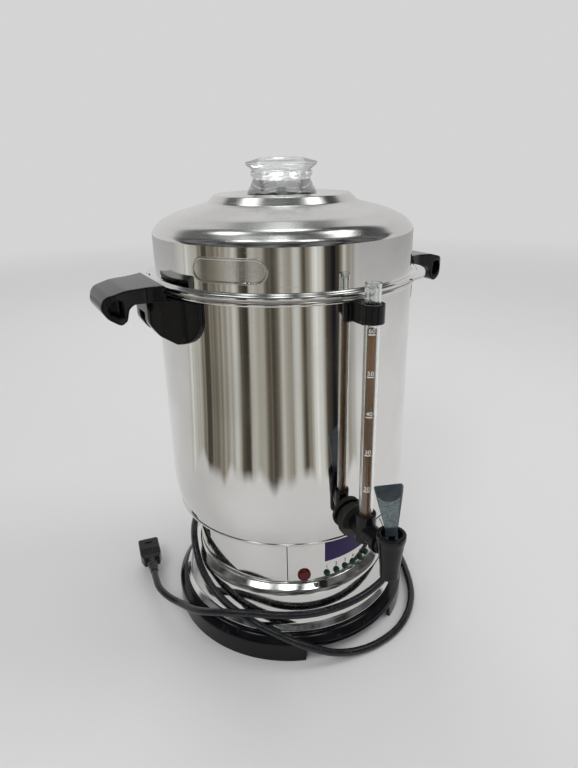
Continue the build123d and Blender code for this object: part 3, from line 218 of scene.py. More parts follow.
class Nodes:
    """The few pattern nodes that the finishes and the world need, on places or on directions."""

    def __init__(self, tree, coordinates, output):
        self.tree = tree
        self.place = tree.nodes.new("ShaderNodeTexCoord").outputs[coordinates]
        self.surface = tree.nodes[output].inputs["Surface"]
        self.path = tree.nodes.new("ShaderNodeLightPath").outputs

    def pattern(self, kind, scale, stretch=(1, 1, 1), turn=(0, 0, 0)):
        """Pattern node, stretched along the axes that have a small factor."""
        mapping = self.tree.nodes.new("ShaderNodeMapping")
        mapping.inputs["Scale"].default_value = stretch
        mapping.inputs["Rotation"].default_value = turn
        node = self.tree.nodes.new(kind)
        node.inputs["Scale"].default_value = scale
        self.tree.links.new(self.place, mapping.inputs["Vector"])
        self.tree.links.new(mapping.outputs["Vector"], node.inputs["Vector"])
        return node

    def grain(self, scale, stretch=(1, 1, 1), detail=4.0, turn=(0, 0, 0)):
        """Noise from 0 to 1."""
        noise = self.pattern("ShaderNodeTexNoise", scale, stretch, turn)
        noise.inputs["Detail"].default_value = detail
        return noise.outputs["Fac"]

    def cells(self, scale):
        """Distance to the nearest of many scattered points."""
        return self.pattern("ShaderNodeTexVoronoi", scale).outputs["Distance"]

    def span(self, value, low, high, to_low=0.0, to_high=1.0):
        """Carries one range over to another, held at its ends."""
        node = self.tree.nodes.new("ShaderNodeMapRange")
        ends = {"From Min": low, "From Max": high, "To Min": to_low, "To Max": to_high}
        for socket, number in ends.items():
            node.inputs[socket].default_value = number
        self.tree.links.new(value, node.inputs["Value"])
        return node.outputs["Result"]

    def mix(self, share, first, second):
        """Colour between two colours, either of which may be a socket. A Mix node takes its colours at the
        inputs 6 and 7 and gives one at the output 2."""
        node = self.tree.nodes.new("ShaderNodeMix")
        node.data_type = "RGBA"
        self.tree.links.new(share, node.inputs["Factor"])
        for socket, colour in ((node.inputs[6], first), (node.inputs[7], second)):
            if isinstance(colour, tuple):
                socket.default_value = (*colour, 1.0)
            else:
                self.tree.links.new(colour, socket)
        return node.outputs[2]

    def math(self, operation, first, second):
        """One step of arithmetic on sockets or numbers."""
        node = self.tree.nodes.new("ShaderNodeMath")
        node.operation = operation
        for socket, value in zip(node.inputs, (first, second)):
            if isinstance(value, (int, float)):
                socket.default_value = value
            else:
                self.tree.links.new(value, socket)
        return node.outputs[0]

    def times(self, product, *others):
        """Product of sockets or numbers."""
        for other in others:
            product = self.math("MULTIPLY", product, other)
        return product

    def layer(self, share, over):
        """Lays another shader over what is shown so far."""
        node = self.tree.nodes.new("ShaderNodeMixShader")
        self.tree.links.new(share, node.inputs["Fac"])
        self.tree.links.new(self.surface.links[0].from_socket, node.inputs[1])
        self.tree.links.new(over, node.inputs[2])
        self.tree.links.new(node.outputs[0], self.surface)

    def glow(self, kind, colour, strength=None):
        """Light of a colour, or of a colour socket, from an emission or background node."""
        node = self.tree.nodes.new(kind)
        if strength:
            self.tree.links.new(strength, node.inputs["Strength"])
        if isinstance(colour, tuple):
            node.inputs["Color"].default_value = (*colour, 1.0)
        else:
            self.tree.links.new(colour, node.inputs["Color"])
        return node.outputs[0]

    def ramp(self, value, stops):
        """Colour from a number, by places and colours in order."""
        node = self.tree.nodes.new("ShaderNodeValToRGB")
        elements = node.color_ramp.elements
        while len(elements) < len(stops):
            elements.new(0.5)
        for element, (place, colour) in zip(elements, stops):
            element.position = place
            element.color = (*colour, 1.0)
        self.tree.links.new(value, node.inputs["Fac"])
        return node.outputs["Color"]

    def along(self, direction):
        """How far a point lies along a direction."""
        node = self.tree.nodes.new("ShaderNodeVectorMath")
        node.operation = "DOT_PRODUCT"
        node.inputs[1].default_value = direction
        self.tree.links.new(self.place, node.inputs[0])
        return node.outputs["Value"]


class Finish(Nodes):
    """A material with its shader."""

    def __init__(self, name, colour, metallic=0.0, roughness=0.5):
        self.material = bpy.data.materials.new(name)
        self.material.use_nodes = True
        super().__init__(self.material.node_tree, "Object", "Material Output")
        self.shader = self.tree.nodes["Principled BSDF"]
        self.set("Base Color", (*colour, 1.0))
        self.set("Metallic", metallic)
        self.set("Roughness", roughness)

    def set(self, socket, value):
        """Gives one of the shader's sockets a fixed value."""
        self.shader.inputs[socket].default_value = value

    def join(self, output, socket):
        """Leads a pattern into one of the shader's sockets."""
        self.tree.links.new(output, self.shader.inputs[socket])

    def relief(self, height, strength, depth):
        """Bump of a depth in millimetres, on top of any bump that is there."""
        node = self.tree.nodes.new("ShaderNodeBump")
        node.inputs["Strength"].default_value = strength
        node.inputs["Distance"].default_value = depth * MM
        self.tree.links.new(height, node.inputs["Height"])
        before = self.shader.inputs["Normal"].links
        if before:
            self.tree.links.new(before[0].from_socket, node.inputs["Normal"])
        self.join(node.outputs["Normal"], "Normal")


def polished_steel(name, scratched=0.0, ripple=1.0, dull_above=None):
    """Mirror steel: sheet that waves a little, wiped smudges, and hair scratches run round the urn. It can
    be duller and finely pitted above a height in millimetres."""
    finish = Finish(name, (0.76, 0.75, 0.73), metallic=1.0, roughness=0.05)
    smudge = finish.span(finish.grain(22, (1, 1, 0.6)), 0.42, 0.72, 0.035, 0.10 + 0.12 * scratched)
    hairs = finish.span(finish.grain(900, (0.05, 0.05, 1.0), 2.0), 0.60, 0.72, 0.0, 0.05 + 0.10 * scratched)
    specks = finish.span(finish.cells(420), 0.16, 0.05, 0.0, 0.35 * scratched)
    roughness = finish.math("ADD", finish.math("ADD", smudge, hairs), specks)
    if dull_above:
        dull = finish.span(finish.along((0, 0, 1)), dull_above * MM, (dull_above + 4) * MM)
        roughness = finish.math("ADD", roughness, finish.times(dull, 0.13))
        finish.relief(finish.times(finish.grain(750, detail=3.0), dull), 0.5, 0.06)
    finish.join(roughness, "Roughness")
    finish.relief(finish.grain(9, (1.6, 1.6, 0.22), 1.0), 0.35 * ripple, 0.6)
    finish.relief(finish.grain(60, (1, 1, 0.3), 2.0), 0.05 + 0.3 * scratched, 0.05)
    stain = finish.span(finish.grain(14, detail=6.0), 0.45, 0.75)
    finish.join(finish.mix(stain, (0.78, 0.77, 0.75), (0.68, 0.67, 0.65)), "Base Color")
    return finish.material


def satin_steel(name, colour=(0.55, 0.55, 0.56), roughness=0.28):
    """Turned or rolled metal: fine lines round the axis and cloudy roughness."""
    finish = Finish(name, colour, metallic=1.0, roughness=roughness)
    lines = finish.grain(1500, (0.06, 0.06, 1.0), 2.0)
    finish.join(finish.span(lines, 0.3, 0.7, roughness * 0.7, roughness * 1.3), "Roughness")
    finish.relief(lines, 0.12, 0.03)
    cloud = finish.grain(50)
    darker = tuple(0.8 * value for value in colour)
    finish.join(finish.mix(finish.span(cloud, 0.35, 0.75), colour, darker), "Base Color")
    return finish.material


def moulded(name, colour, roughness, grain=0.3, wear=(0.10, 0.10, 0.11)):
    """Moulded plastic: fine spark-eroded grain, handling gloss in patches and dusty wear."""
    finish = Finish(name, colour, roughness=roughness)
    finish.set("Specular IOR Level", 0.3)
    patches = finish.grain(35)
    finish.join(finish.span(patches, 0.3, 0.7, roughness * 0.7, roughness * 1.25), "Roughness")
    finish.relief(finish.grain(2600, detail=2.0), grain, 0.02)
    dust = finish.span(finish.grain(160, detail=6.0), 0.60, 0.78)
    finish.join(finish.mix(dust, colour, wear), "Base Color")
    return finish.material


def soft_rubber(name, colour):
    """Rubber: dull, with a faint bloom."""
    finish = Finish(name, colour, roughness=0.75)
    bloom = finish.span(finish.grain(120, detail=5.0), 0.45, 0.75)
    paler = tuple(min(1.0, 1.35 * value + 0.01) for value in colour)
    finish.join(finish.mix(bloom, colour, paler), "Base Color")
    finish.join(finish.span(finish.grain(300), 0.3, 0.7, 0.6, 0.85), "Roughness")
    finish.relief(finish.grain(1800), 0.25, 0.03)
    return finish.material


def clear_glass(name, tint, ripple, thin=0.0):
    """Clear glass or plastic with slight draw marks along its length. Light for what stands inside goes
    straight through it, and so does a share of what the camera sees where it is thin."""
    finish = Finish(name, tint, roughness=0.02)
    finish.set("Transmission Weight", 1.0)
    finish.set("IOR", 1.48)
    marks = finish.grain(260, (1, 1, 0.06), 2.0)
    finish.join(finish.span(marks, 0.35, 0.75, 0.0, 0.06), "Roughness")
    finish.relief(marks, ripple, 0.05)
    through = finish.tree.nodes.new("ShaderNodeBsdfTransparent").outputs[0]
    lighting = finish.math("MAXIMUM", finish.path["Is Shadow Ray"], finish.path["Is Diffuse Ray"])
    seen = finish.times(finish.path["Is Camera Ray"], thin)
    finish.layer(finish.math("MAXIMUM", lighting, seen), through)
    return finish.material


def dark_liquid(name):
    """Coffee in a glass: deep brown, paler towards its top and where a film of it clings."""
    finish = Finish(name, (0.14, 0.06, 0.022), roughness=0.12)
    finish.set("IOR", 1.34)
    film = finish.span(finish.grain(45, (1, 1, 0.2)), 0.35, 0.7)
    thick = finish.mix(film, (0.055, 0.022, 0.005), (0.110, 0.050, 0.016))
    thinner = finish.mix(film, (0.105, 0.045, 0.015), (0.19, 0.095, 0.045))
    finish.join(finish.mix(finish.span(finish.along((0, 0, 1)), 0.24, 0.31), thick, thinner), "Base Color")
    finish.join(finish.span(finish.grain(300), 0.3, 0.7, 0.08, 0.2), "Roughness")
    return finish.material


def lamp_lens(name, colour):
    """Tinted lens with small prisms pressed into its back."""
    finish = Finish(name, colour, roughness=0.12)
    finish.set("Specular IOR Level", 0.35)
    prisms = finish.cells(900)
    finish.relief(prisms, 0.35, 0.15)
    deeper = tuple(0.3 * value for value in colour)
    finish.join(finish.mix(finish.span(prisms, 0.1, 0.5), colour, deeper), "Base Color")
    return finish.material


def lever_plastic(name):
    """Grey moulding: a coarsely grained panel on its front, whose upper edge sags in the middle, and smooth
    plastic round it, with a painted highlight that makes its side edges paler."""
    finish = Finish(name, (0.05, 0.055, 0.06), roughness=0.4)
    turn = math.radians(LEVER_AZIMUTH)
    out = (math.sin(turn), -math.cos(turn), 0.0)
    beside = (math.cos(turn), math.sin(turn), math.tan(math.radians(LEVER_LEAN)))
    lean_start = SPOUT_PLACE * math.sin(turn) - PIN_HEIGHT * beside[2]
    side = finish.math("ADD", finish.along(beside), lean_start * MM)
    depth = finish.along(out)
    axis_place = -SPOUT_PLACE * MM * out[1]
    front = finish.span(depth, *(axis_place + place * MM for place in LEVER_FACE))
    height = finish.along((0, 0, 1))
    above = finish.span(height, *(place * MM for place in PANEL_FOOT))
    sag = finish.times(side, side, PANEL_SAG)
    below = finish.span(finish.math("SUBTRACT", height, sag), *(place * MM for place in PANEL_TOP))
    blade = [size * MM for size in (*BLADE_HEIGHTS, *BLADE_HALF_WIDTHS)]
    half_width = finish.span(height, *blade)
    share = finish.math("DIVIDE", finish.math("ABSOLUTE", side, 0.0), half_width)
    inside = finish.span(share, 0.90, 0.82)
    grained = finish.times(front, above, below, inside)
    speckle = finish.span(finish.grain(1300, detail=6.0), 0.42, 0.60)
    panel = finish.mix(speckle, (0.050, 0.070, 0.078), (0.23, 0.28, 0.285))
    plain = finish.mix(finish.span(finish.grain(90), 0.4, 0.7), (0.020, 0.028, 0.036), (0.040, 0.050, 0.060))
    # Painted highlight: the plain plastic turns paler towards both side edges.
    smooth = finish.mix(finish.span(share, 0.86, 0.98), plain, (0.10, 0.12, 0.13))
    finish.join(finish.mix(grained, smooth, panel), "Base Color")
    finish.join(finish.span(grained, 0, 1, 0.28, 0.62), "Roughness")
    finish.relief(finish.times(finish.grain(1100, detail=5.0), grained), 0.7, 0.25)
    return finish.material


def cord_vinyl(name):
    """Round black vinyl: glossy, with a faint wipe pattern and a little dust."""
    finish = Finish(name, (0.010, 0.011, 0.013), roughness=0.22)
    finish.join(finish.span(finish.grain(140, detail=5.0), 0.3, 0.7, 0.14, 0.36), "Roughness")
    dust = finish.span(finish.grain(420, detail=6.0), 0.62, 0.80)
    finish.join(finish.mix(dust, (0.010, 0.011, 0.013), (0.07, 0.07, 0.075)), "Base Color")
    finish.relief(finish.grain(700), 0.12, 0.05)
    return finish.material


def print_ink(name, colour):
    """Printed ink, slightly worn."""
    finish = Finish(name, colour, roughness=0.4)
    finish.set("Specular IOR Level", 0.25)
    worn = finish.span(finish.grain(1300, detail=5.0), 0.62, 0.75)
    finish.join(finish.mix(worn, colour, tuple(0.8 * v + 0.04 for v in colour)), "Base Color")
    finish.join(finish.span(finish.grain(300), 0.3, 0.7, 0.3, 0.5), "Roughness")
    return finish.material


STEEL = polished_steel("polished_steel", ripple=0.7)
FLARE_STEEL = polished_steel("handled_steel", scratched=0.55, ripple=0.5)
LID_STEEL = polished_steel("lid_steel", scratched=0.22, ripple=0.25, dull_above=391.0)
BADGE_STEEL = polished_steel("badge_steel", scratched=0.5, ripple=0.3, dull_above=1.0)
PLAIN_STEEL = satin_steel("plain_steel")
PLATED = satin_steel("plated_steel", (0.66, 0.66, 0.68), 0.16)
ALUMINIUM = satin_steel("aluminium", (0.62, 0.63, 0.64), 0.32)
BRASS = satin_steel("brass", (0.60, 0.43, 0.17), 0.22)
BLACK_GLOSS = moulded("black_gloss", (0.004, 0.004, 0.005), 0.13, 0.03, (0.020, 0.020, 0.022))
BLACK_SATIN = moulded("black_satin", (0.005, 0.005, 0.006), 0.20, 0.06, (0.022, 0.022, 0.024))
BLACK_RIBBED = moulded("black_ribbed", (0.020, 0.020, 0.019), 0.12, 0.02, (0.060, 0.060, 0.055))
LEVER_GREY = lever_plastic("lever_grey")
GLASS = clear_glass("clear", (0.96, 0.98, 0.98), 0.15)
GUARD = clear_glass("clear_guard", (0.95, 0.97, 0.96), 0.05)
CLEAR_KNOB = clear_glass("clear_knob", (0.96, 0.98, 0.98), 0.10, thin=0.6)
COFFEE = dark_liquid("coffee")
RUBBER = soft_rubber("rubber", (0.018, 0.018, 0.019))
SILICONE = soft_rubber("silicone", (0.45, 0.42, 0.37))
VIOLET = print_ink("label_violet", (0.024, 0.010, 0.075))
INK_BLACK = print_ink("ink_black", (0.012, 0.012, 0.014))
INK_WHITE = print_ink("ink_white", (0.80, 0.80, 0.78))
LENS_RED = lamp_lens("lens_red", (0.17, 0.003, 0.006))
LENS_GREEN = lamp_lens("lens_green", (0.004, 0.070, 0.028))
WHITE_PLASTIC = moulded("white_plastic", (0.72, 0.70, 0.66), 0.45, 0.2, (0.55, 0.53, 0.50))
BOARD = moulded("board_green", (0.02, 0.10, 0.045), 0.4, 0.2, (0.05, 0.16, 0.08))
VINYL = cord_vinyl("cord_black")


# Shapes


def rounded(corners, radii, closed=True):
    """Outline with rounded corners: each round of radius r touches its two sides r over the tangent of
    half the inside angle away from the corner, and runs between them as an arc."""
    corners = np.array(corners, float)
    made = []
    for i, (corner, radius) in enumerate(zip(corners, radii)):
        if radius <= 0:
            made.append(corner)
            continue
        back = corners[i - 1] - corner
        on = corners[(i + 1) % len(corners)] - corner
        back, on = back / np.linalg.norm(back), on / np.linalg.norm(on)
        half = math.acos(np.clip(back @ on, -1, 1)) / 2
        centre = corner + (back + on) / np.linalg.norm(back + on) * radius / math.sin(half)
        start, end = (corner + way * radius / math.tan(half) - centre for way in (back, on))
        turn = math.pi - 2 * half
        share = np.linspace(0, 1, max(3, int(math.degrees(turn) / ARC_STEP) + 2))[:, None]
        arc = np.sin((1 - share) * turn) * start + np.sin(share * turn) * end
        made.extend(centre + arc / math.sin(turn))
    return held(np.array(made), closed)


def held(line, closed):
    """Adds a point near each end of every long straight run, so that smooth shading stays in the rounds."""
    ends = np.roll(line, -1, axis=0) if closed else line[1:]
    starts = line if closed else line[:-1]
    made = []
    for start, end in zip(starts, ends):
        length = np.linalg.norm(end - start)
        made.append(start)
        if length > LONG_RUN:
            near = HELD_END / length
            made += [start + (end - start) * share for share in (near, 1 - near)]
    if not closed:
        made.append(line[-1])
    return np.array(made)


def sheet(corners, radii, wall):
    """Closed outline of bent sheet: a line with rounded corners and its copy one wall to the left."""
    line = rounded(corners, [0, *radii, 0], closed=False)
    way = np.diff(line, axis=0)
    way /= np.linalg.norm(way, axis=1, keepdims=True)
    left = np.stack([-way[:, 1], way[:, 0]], axis=1)
    before, after = np.vstack([left[:1], left]), np.vstack([left, left[-1:]])
    middle = before + after
    middle /= np.linalg.norm(middle, axis=1, keepdims=True)
    other = line + middle * wall / np.sum(middle * after, axis=1, keepdims=True)
    return np.vstack([line, other[::-1]])


def skin(name, grid, round_rows=True, round_columns=True, caps=False, sharp=SHARP_ANGLE):
    """Mesh object from a grid of points: a four-sided face between each point and its neighbours in the
    next row and column, with the last joined to the first where the grid is round."""
    rows, columns = grid.shape[:2]
    i, j = np.meshgrid(
        np.arange(rows if round_rows else rows - 1),
        np.arange(columns if round_columns else columns - 1),
        indexing="ij",
    )
    next_i, next_j = (i + 1) % rows, (j + 1) % columns
    corners = [i * columns + j, i * columns + next_j, next_i * columns + next_j, next_i * columns + j]
    faces = np.stack(corners, axis=-1).reshape(-1, 4).tolist()
    if caps:
        ring = np.arange(rows) * columns
        faces += [ring.tolist(), (ring[::-1] + columns - 1).tolist()]
    mesh = bpy.data.meshes.new(name)
    mesh.from_pydata((grid.reshape(-1, 3) * MM).tolist(), [], faces)
    return finished(name, mesh, sharp)


def finished(name, mesh, sharp=SHARP_ANGLE):
    """Closes a mesh's seams and poles, points its faces outwards and links it as an object."""
    work = bmesh.new()
    work.from_mesh(mesh)
    bmesh.ops.remove_doubles(work, verts=work.verts, dist=1e-6)
    bmesh.ops.recalc_face_normals(work, faces=work.faces)
    work.to_mesh(mesh)
    work.free()
    mesh.shade_smooth()
    mesh.set_sharp_from_angle(angle=math.radians(sharp))
    piece = bpy.data.objects.new(name, mesh)
    bpy.context.collection.objects.link(piece)
    return piece


def box(inner, outer, low, high):
    """Corners of a rectangle of radius and height, from its inner foot on."""
    return [(inner, low), (outer, low), (outer, high), (inner, high)]


def carried(outline, turn):
    """Grid of an outline at several azimuths in radians: radius times the sine and minus the cosine of the
    azimuth, and height."""
    radius, height = outline[:, :1], outline[:, 1:]
    return np.stack([radius * np.sin(turn), -radius * np.cos(turn), height + 0 * turn], axis=-1)


def lathe_grid(outline, steps=TURN_STEPS):
    """Grid of an outline carried all the way round."""
    return carried(outline, np.linspace(0, 2 * np.pi, steps, endpoint=False))


def bar_grid(outline, span, steps=48):
    """Grid of an outline carried between two azimuths in degrees."""
    return carried(outline, np.radians(np.linspace(*span, steps)))


def along_tap(grid):
    """Lays a piece turned about Z along the tap's level axis: height becomes the distance from the urn."""
    return np.stack([grid[..., 0], -grid[..., 2], TAP_HEIGHT + grid[..., 1]], axis=-1)


def dress(piece, body, material, slot, *nodes):
    """Gives a piece its material, its body and the CAD nodes that it stands for."""
    piece.data.materials.clear()
    piece.data.materials.append(material)
    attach(piece, body)
    if nodes:
        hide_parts(*nodes)
    return piece


def eased(nodes, voxel, passes):
    """Copy of CAD solids with their edges eased: laid on a fine cubic grid, then smoothed a few times."""
    work = bmesh.new()
    for node in nodes:
        work.from_mesh(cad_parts[node].data)
    mesh = bpy.data.meshes.new(nodes[0] + "_skin")
    work.to_mesh(mesh)
    work.free()
    piece = finished(nodes[0] + "_skin", mesh)
    grid = piece.modifiers.new("grid", "REMESH")
    grid.mode = "VOXEL"
    grid.voxel_size = voxel * MM
    ease = piece.modifiers.new("ease", "SMOOTH")
    ease.factor = 0.5
    ease.iterations = passes
    shown = piece.evaluated_get(bpy.context.evaluated_depsgraph_get())
    made = bpy.data.meshes.new_from_object(shown)
    made.shade_smooth()
    piece.modifiers.clear()
    piece.data = made
    return piece


def make_tank():
    """Tank: drawn sheet with a fine lip and a rounded foot, and the solid bead at its mouth in the same
    outline."""
    foot = rounded(
        [
            (WELL_HOLE, TANK_FLOOR),
            (TANK_FOOT + LIP_REACH, TANK_FLOOR),
            (TANK_FOOT + LIP_REACH, TANK_FLOOR + LIP_HEIGHT),
            (TANK_FOOT + WALL_AT_LIP, TANK_FLOOR + LIP_HEIGHT),
            (TANK_RADIUS, TANK_CORNER),
            (TANK_RADIUS, BEAD_BOTTOM),
        ],
        [0, 1.25, 0.7, 0, TANK_ROUNDING, 0],
        closed=False,
    )
    bead = rounded(
        [
            (TANK_RADIUS, BEAD_BOTTOM),
            (BEAD_RADIUS, BEAD_BOTTOM),
            (BEAD_RADIUS, TANK_RIM),
            (TANK_RADIUS - TANK_WALL, TANK_RIM),
        ],
        [0, BEAD_ROUNDING, BEAD_ROUNDING, 0],
        closed=False,
    )
    inside = rounded(
        [
            (TANK_RADIUS - TANK_WALL, TANK_RIM - 0.5),
            (TANK_RADIUS - TANK_WALL, TANK_CORNER + 0.1),
            (TANK_FOOT - TANK_WALL, TANK_FLOOR + TANK_WALL),
            (WELL_HOLE, TANK_FLOOR + TANK_WALL),
        ],
        [0, TANK_ROUNDING - TANK_WALL, 1.2, 0],
        closed=False,
    )
    outline = np.vstack([foot, bead, inside])
    dress(skin("tank_skin", lathe_grid(outline)), "urn", STEEL, "polished_steel", "tank_shell")


def make_neck():
    """Neck under the tank, bent in at both ends."""
    neck = sheet(
        [
            (FLANGE_RADIUS, SEAM_HEIGHT),
            (NECK_RADIUS, SEAM_HEIGHT),
            (NECK_RADIUS, TANK_FLOOR),
            (FLANGE_RADIUS, TANK_FLOOR),
        ],
        [1.2, 1.2],
        BASE_WALL,
    )
    dress(skin("neck_skin", lathe_grid(neck)), "urn", STEEL, "polished_steel", "base_neck")


def make_flare():
    """Flared foot, from its edge on the ring up to its flange under the neck."""
    flare = sheet(
        [
            (FLARE_RADIUS - FLARE_EDGE, RING_TOP),
            (FLARE_RADIUS, RING_TOP),
            (FLARE_RADIUS, RING_TOP + FLARE_STEP),
            *FLARE_SIDE,
            (FLANGE_RADIUS, SEAM_HEIGHT),
        ],
        [0.9, 0.9, 6.0, 20.0, 8.0, 5.0],
        BASE_WALL,
    )
    dress(skin("flare_skin", lathe_grid(flare)), "urn", FLARE_STEEL, "polished_steel", "base_flare")


def make_ring():
    """Black ring, whose lower edge rises to the gap height across each foot gap."""
    ring = sheet(
        [
            (RING_RADIUS, 0),
            (RING_RADIUS, RING_TOP - RING_SHOULDER),
            (RING_RADIUS - RING_SHOULDER, RING_TOP),
            (RING_HOLE, RING_TOP),
        ],
        [5.0, 7.0],
        RING_WALL,
    )
    grid = lathe_grid(ring, 720)
    azimuth = np.degrees(np.arctan2(grid[..., 0], -grid[..., 1]))
    for place in FOOT_GAP_PLACES:
        away = np.abs((azimuth - place + 180) % 360 - 180)
        gap = np.clip((FOOT_GAP_HALF_ANGLE - away) / FOOT_GAP_END, 0, 1) * FOOT_GAP_HEIGHT
        grid[..., 2] = np.maximum(grid[..., 2], gap)
    dress(skin("ring_skin", grid), "urn", BLACK_GLOSS, "black_gloss", "base_ring", "ring_web")


def make_lid():
    """Lid: one bent sheet from its plug skirt to the hole under the knob."""
    lid = sheet(
        [
            (LID_PLUG_RADIUS, LID_PLUG_BOTTOM),
            (LID_PLUG_RADIUS, SEAL_TOP),
            (LID_RIM_RADIUS, SEAL_TOP),
            (LID_RIM_RADIUS, LID_RIM_TOP),
            (LID_RADIUS, LID_RIM_TOP),
            (LID_RADIUS, LID_SIDE_TOP),
            *LID_CROWN,
            (LID_DISH_RADIUS, LID_TOP),
            (LID_HOLE, LID_TOP),
        ],
        [1.0, 1.9, 1.9, 1.2, 8.0, 16.0, 30.0, 4.0, 3.0, 6.0, 4.0],
        LID_WALL,
    )
    dress(skin("lid_skin", lathe_grid(lid)), "lid", LID_STEEL, "polished_steel", "lid_shell", "lid_skirt")


def make_knob():
    """Clear knob turned from one outline: up its skirt, waist, ridge and lip, over its dome, and back down
    the hollow inside."""
    top = KNOB_FOOT + KNOB_HEIGHT
    side = [*KNOB_SKIRT, *KNOB_WAIST, *KNOB_RIDGE, *KNOB_LIP]
    outside = rounded(
        [
            (0, KNOB_FOOT - KNOB_PLUG),
            (KNOB_NECK, KNOB_FOOT - KNOB_PLUG),
            (KNOB_NECK, KNOB_FOOT),
            *[(radius, KNOB_FOOT + height) for radius, height in side],
            (KNOB_DOME, top - KNOB_DOME_DROP),
            (0, top),
        ],
        [0, 0.5, 0, 1.0, 1.0, 3.0, 0.8, 0.8, 0.6, 1.0, 1.0, 20.0, 0],
        closed=False,
    )
    bore = KNOB_NECK - KNOB_WALL
    hollow = rounded(
        [
            *[(radius, KNOB_FOOT + height) for radius, height in KNOB_HOLLOW],
            (bore, KNOB_FOOT + KNOB_BORE_HEIGHT),
            (bore, KNOB_FOOT - KNOB_PLUG),
        ],
        [0, 6.0, 6.0, 0],
        closed=False,
    )
    outline = np.vstack([outside[1:], hollow])
    dress(skin("knob_skin", lathe_grid(outline, 144)), "knob", CLEAR_KNOB, "clear", "lid_knob")


def make_label():
    """Label plate with its band, a border line and the numbers of the hour lamps."""
    plate = rounded(box(NECK_RADIUS, LABEL_OUTER, LABEL_BOTTOM, LABEL_TOP), [0, 0.25, 0.25, 0])
    piece = skin("label_skin", bar_grid(plate, LABEL_SPAN), round_columns=False, caps=True)
    dress(piece, "urn", STEEL, "polished_steel", "label_plate")
    band_outer = LABEL_OUTER + BAND_THICKNESS
    band = rounded(box(LABEL_OUTER, band_outer, BAND_BOTTOM, BAND_TOP), [0, 0.1, 0.1, 0])
    piece = skin("band_skin", bar_grid(band, BAND_SPAN), round_columns=False, caps=True)
    dress(piece, "urn", VIOLET, "label_violet", "label_band")
    ends = (LABEL_BOTTOM + EDGE_LINE_MARGIN, LABEL_TOP - EDGE_LINE_MARGIN)
    line = rounded(box(LABEL_OUTER - INK_SUNK, LABEL_OUTER + INK_DEPTH, *ends), [0, 0, 0, 0])
    piece = skin("label_edge_line", bar_grid(line, EDGE_LINE_SPAN, 4), round_columns=False, caps=True)
    dress(piece, "urn", INK_BLACK, "black_satin")
    numbers = []
    foot = HOUR_LAMP_HEIGHT + HOUR_NUMBER_LIFT
    for hour, azimuth in enumerate(HOUR_LAMPS, start=1):
        words = flat_words(str(hour), HOUR_NUMBER_HEIGHT)
        numbers.append(wrapped(words, LABEL_OUTER + LABEL_INK_PLACE, azimuth, foot))
    dress(joined("hour_numbers", numbers), "urn", INK_BLACK, "black_satin")


def flat_words(text, height):
    """Points and faces of a word laid flat in millimetres, its middle at x = 0 and its foot at y = 0."""
    data = bpy.data.curves.new("words", "FONT")
    data.body = text
    data.size = height / LETTER_SHARE
    data.align_x = "CENTER"
    data.extrude = INK_DEPTH
    owner = bpy.data.objects.new("words", data)
    bpy.context.collection.objects.link(owner)
    mesh = bpy.data.meshes.new_from_object(owner.evaluated_get(bpy.context.evaluated_depsgraph_get()))
    bpy.data.objects.remove(owner)
    points = np.empty(3 * len(mesh.vertices))
    mesh.vertices.foreach_get("co", points)
    return points.reshape(-1, 3), [tuple(face.vertices) for face in mesh.polygons]


def wrapped(words, radius, azimuth, foot, axis=(0.0, 0.0)):
    """Words bent round a cylinder: their x becomes an azimuth, their y a height, their z a radius."""
    points, faces = words
    turn = np.radians(azimuth) + points[:, 0] / radius
    out = radius + points[:, 2]
    across = axis[0] + out * np.sin(turn)
    ahead = axis[1] - out * np.cos(turn)
    return np.stack([across, ahead, foot + points[:, 1]], axis=-1), faces


def joined(name, parts):
    """One object from several sets of points and faces."""
    points, faces, start = [], [], 0
    for part_points, part_faces in parts:
        points.append(part_points)
        faces += [tuple(start + corner for corner in face) for face in part_faces]
        start += len(part_points)
    mesh = bpy.data.meshes.new(name)
    mesh.from_pydata((np.vstack(points) * MM).tolist(), [], faces)
    return finished(name, mesh)


def make_gauge():
    """Sight glass, its clear guard slit down the back, the coffee and the cup marks."""
    glass = rounded(box(GLASS_BORE, GLASS_RADIUS, BOSS_SEAT, GLASS_TOP), [0.2, 0.2, 0.3, 0.3])
    shift = np.array([0.0, -BOSS_PLACE, 0.0])
    piece = skin("glass_skin", lathe_grid(glass, 48) + shift)
    dress(piece, "urn", GLASS, "clear", "gauge_glass")
    ends = (BOSS_SEAT + SHIELD_LIFT, SHIELD_TOP)
    guard = rounded(box(SHIELD_RADIUS - SHIELD_WALL, SHIELD_RADIUS, *ends), [0.1, 0.1, 0.3, 0.3])
    half_slot = math.degrees(math.asin(SHIELD_SLOT / 2 / SHIELD_RADIUS))
    span = (-180 + half_slot, 180 - half_slot)
    piece = skin("guard_skin", bar_grid(guard, span, 64) + shift, round_columns=False, caps=True)
    dress(piece, "urn", GUARD, "clear", "gauge_shield")
    column = box(0, GLASS_BORE + COFFEE_OVERLAP, BOSS_SEAT + COFFEE_FOOT, COFFEE_LEVEL)
    column = rounded(column, [0, 0.3, 0.3, 0], closed=False)
    piece = skin("coffee_skin", lathe_grid(column, 48) + shift, round_rows=False)
    dress(piece, "urn", COFFEE, "coffee", "coffee_column")
    marks = []
    face = (GLASS_RADIUS + GLASS_INK_PLACE, CUP_MARKS_TURN)
    for text, height in CUP_MARKS.items():
        words = flat_words(text, CUP_MARK_HEIGHT)
        marks.append(wrapped(words, *face, height + CUP_MARK_LIFT, (0, -BOSS_PLACE)))
        marks.append(wrapped(underline(*CUP_LINE), *face, height, (0, -BOSS_PLACE)))
    dress(joined("cup_marks", marks), "urn", INK_WHITE, "white_plastic")


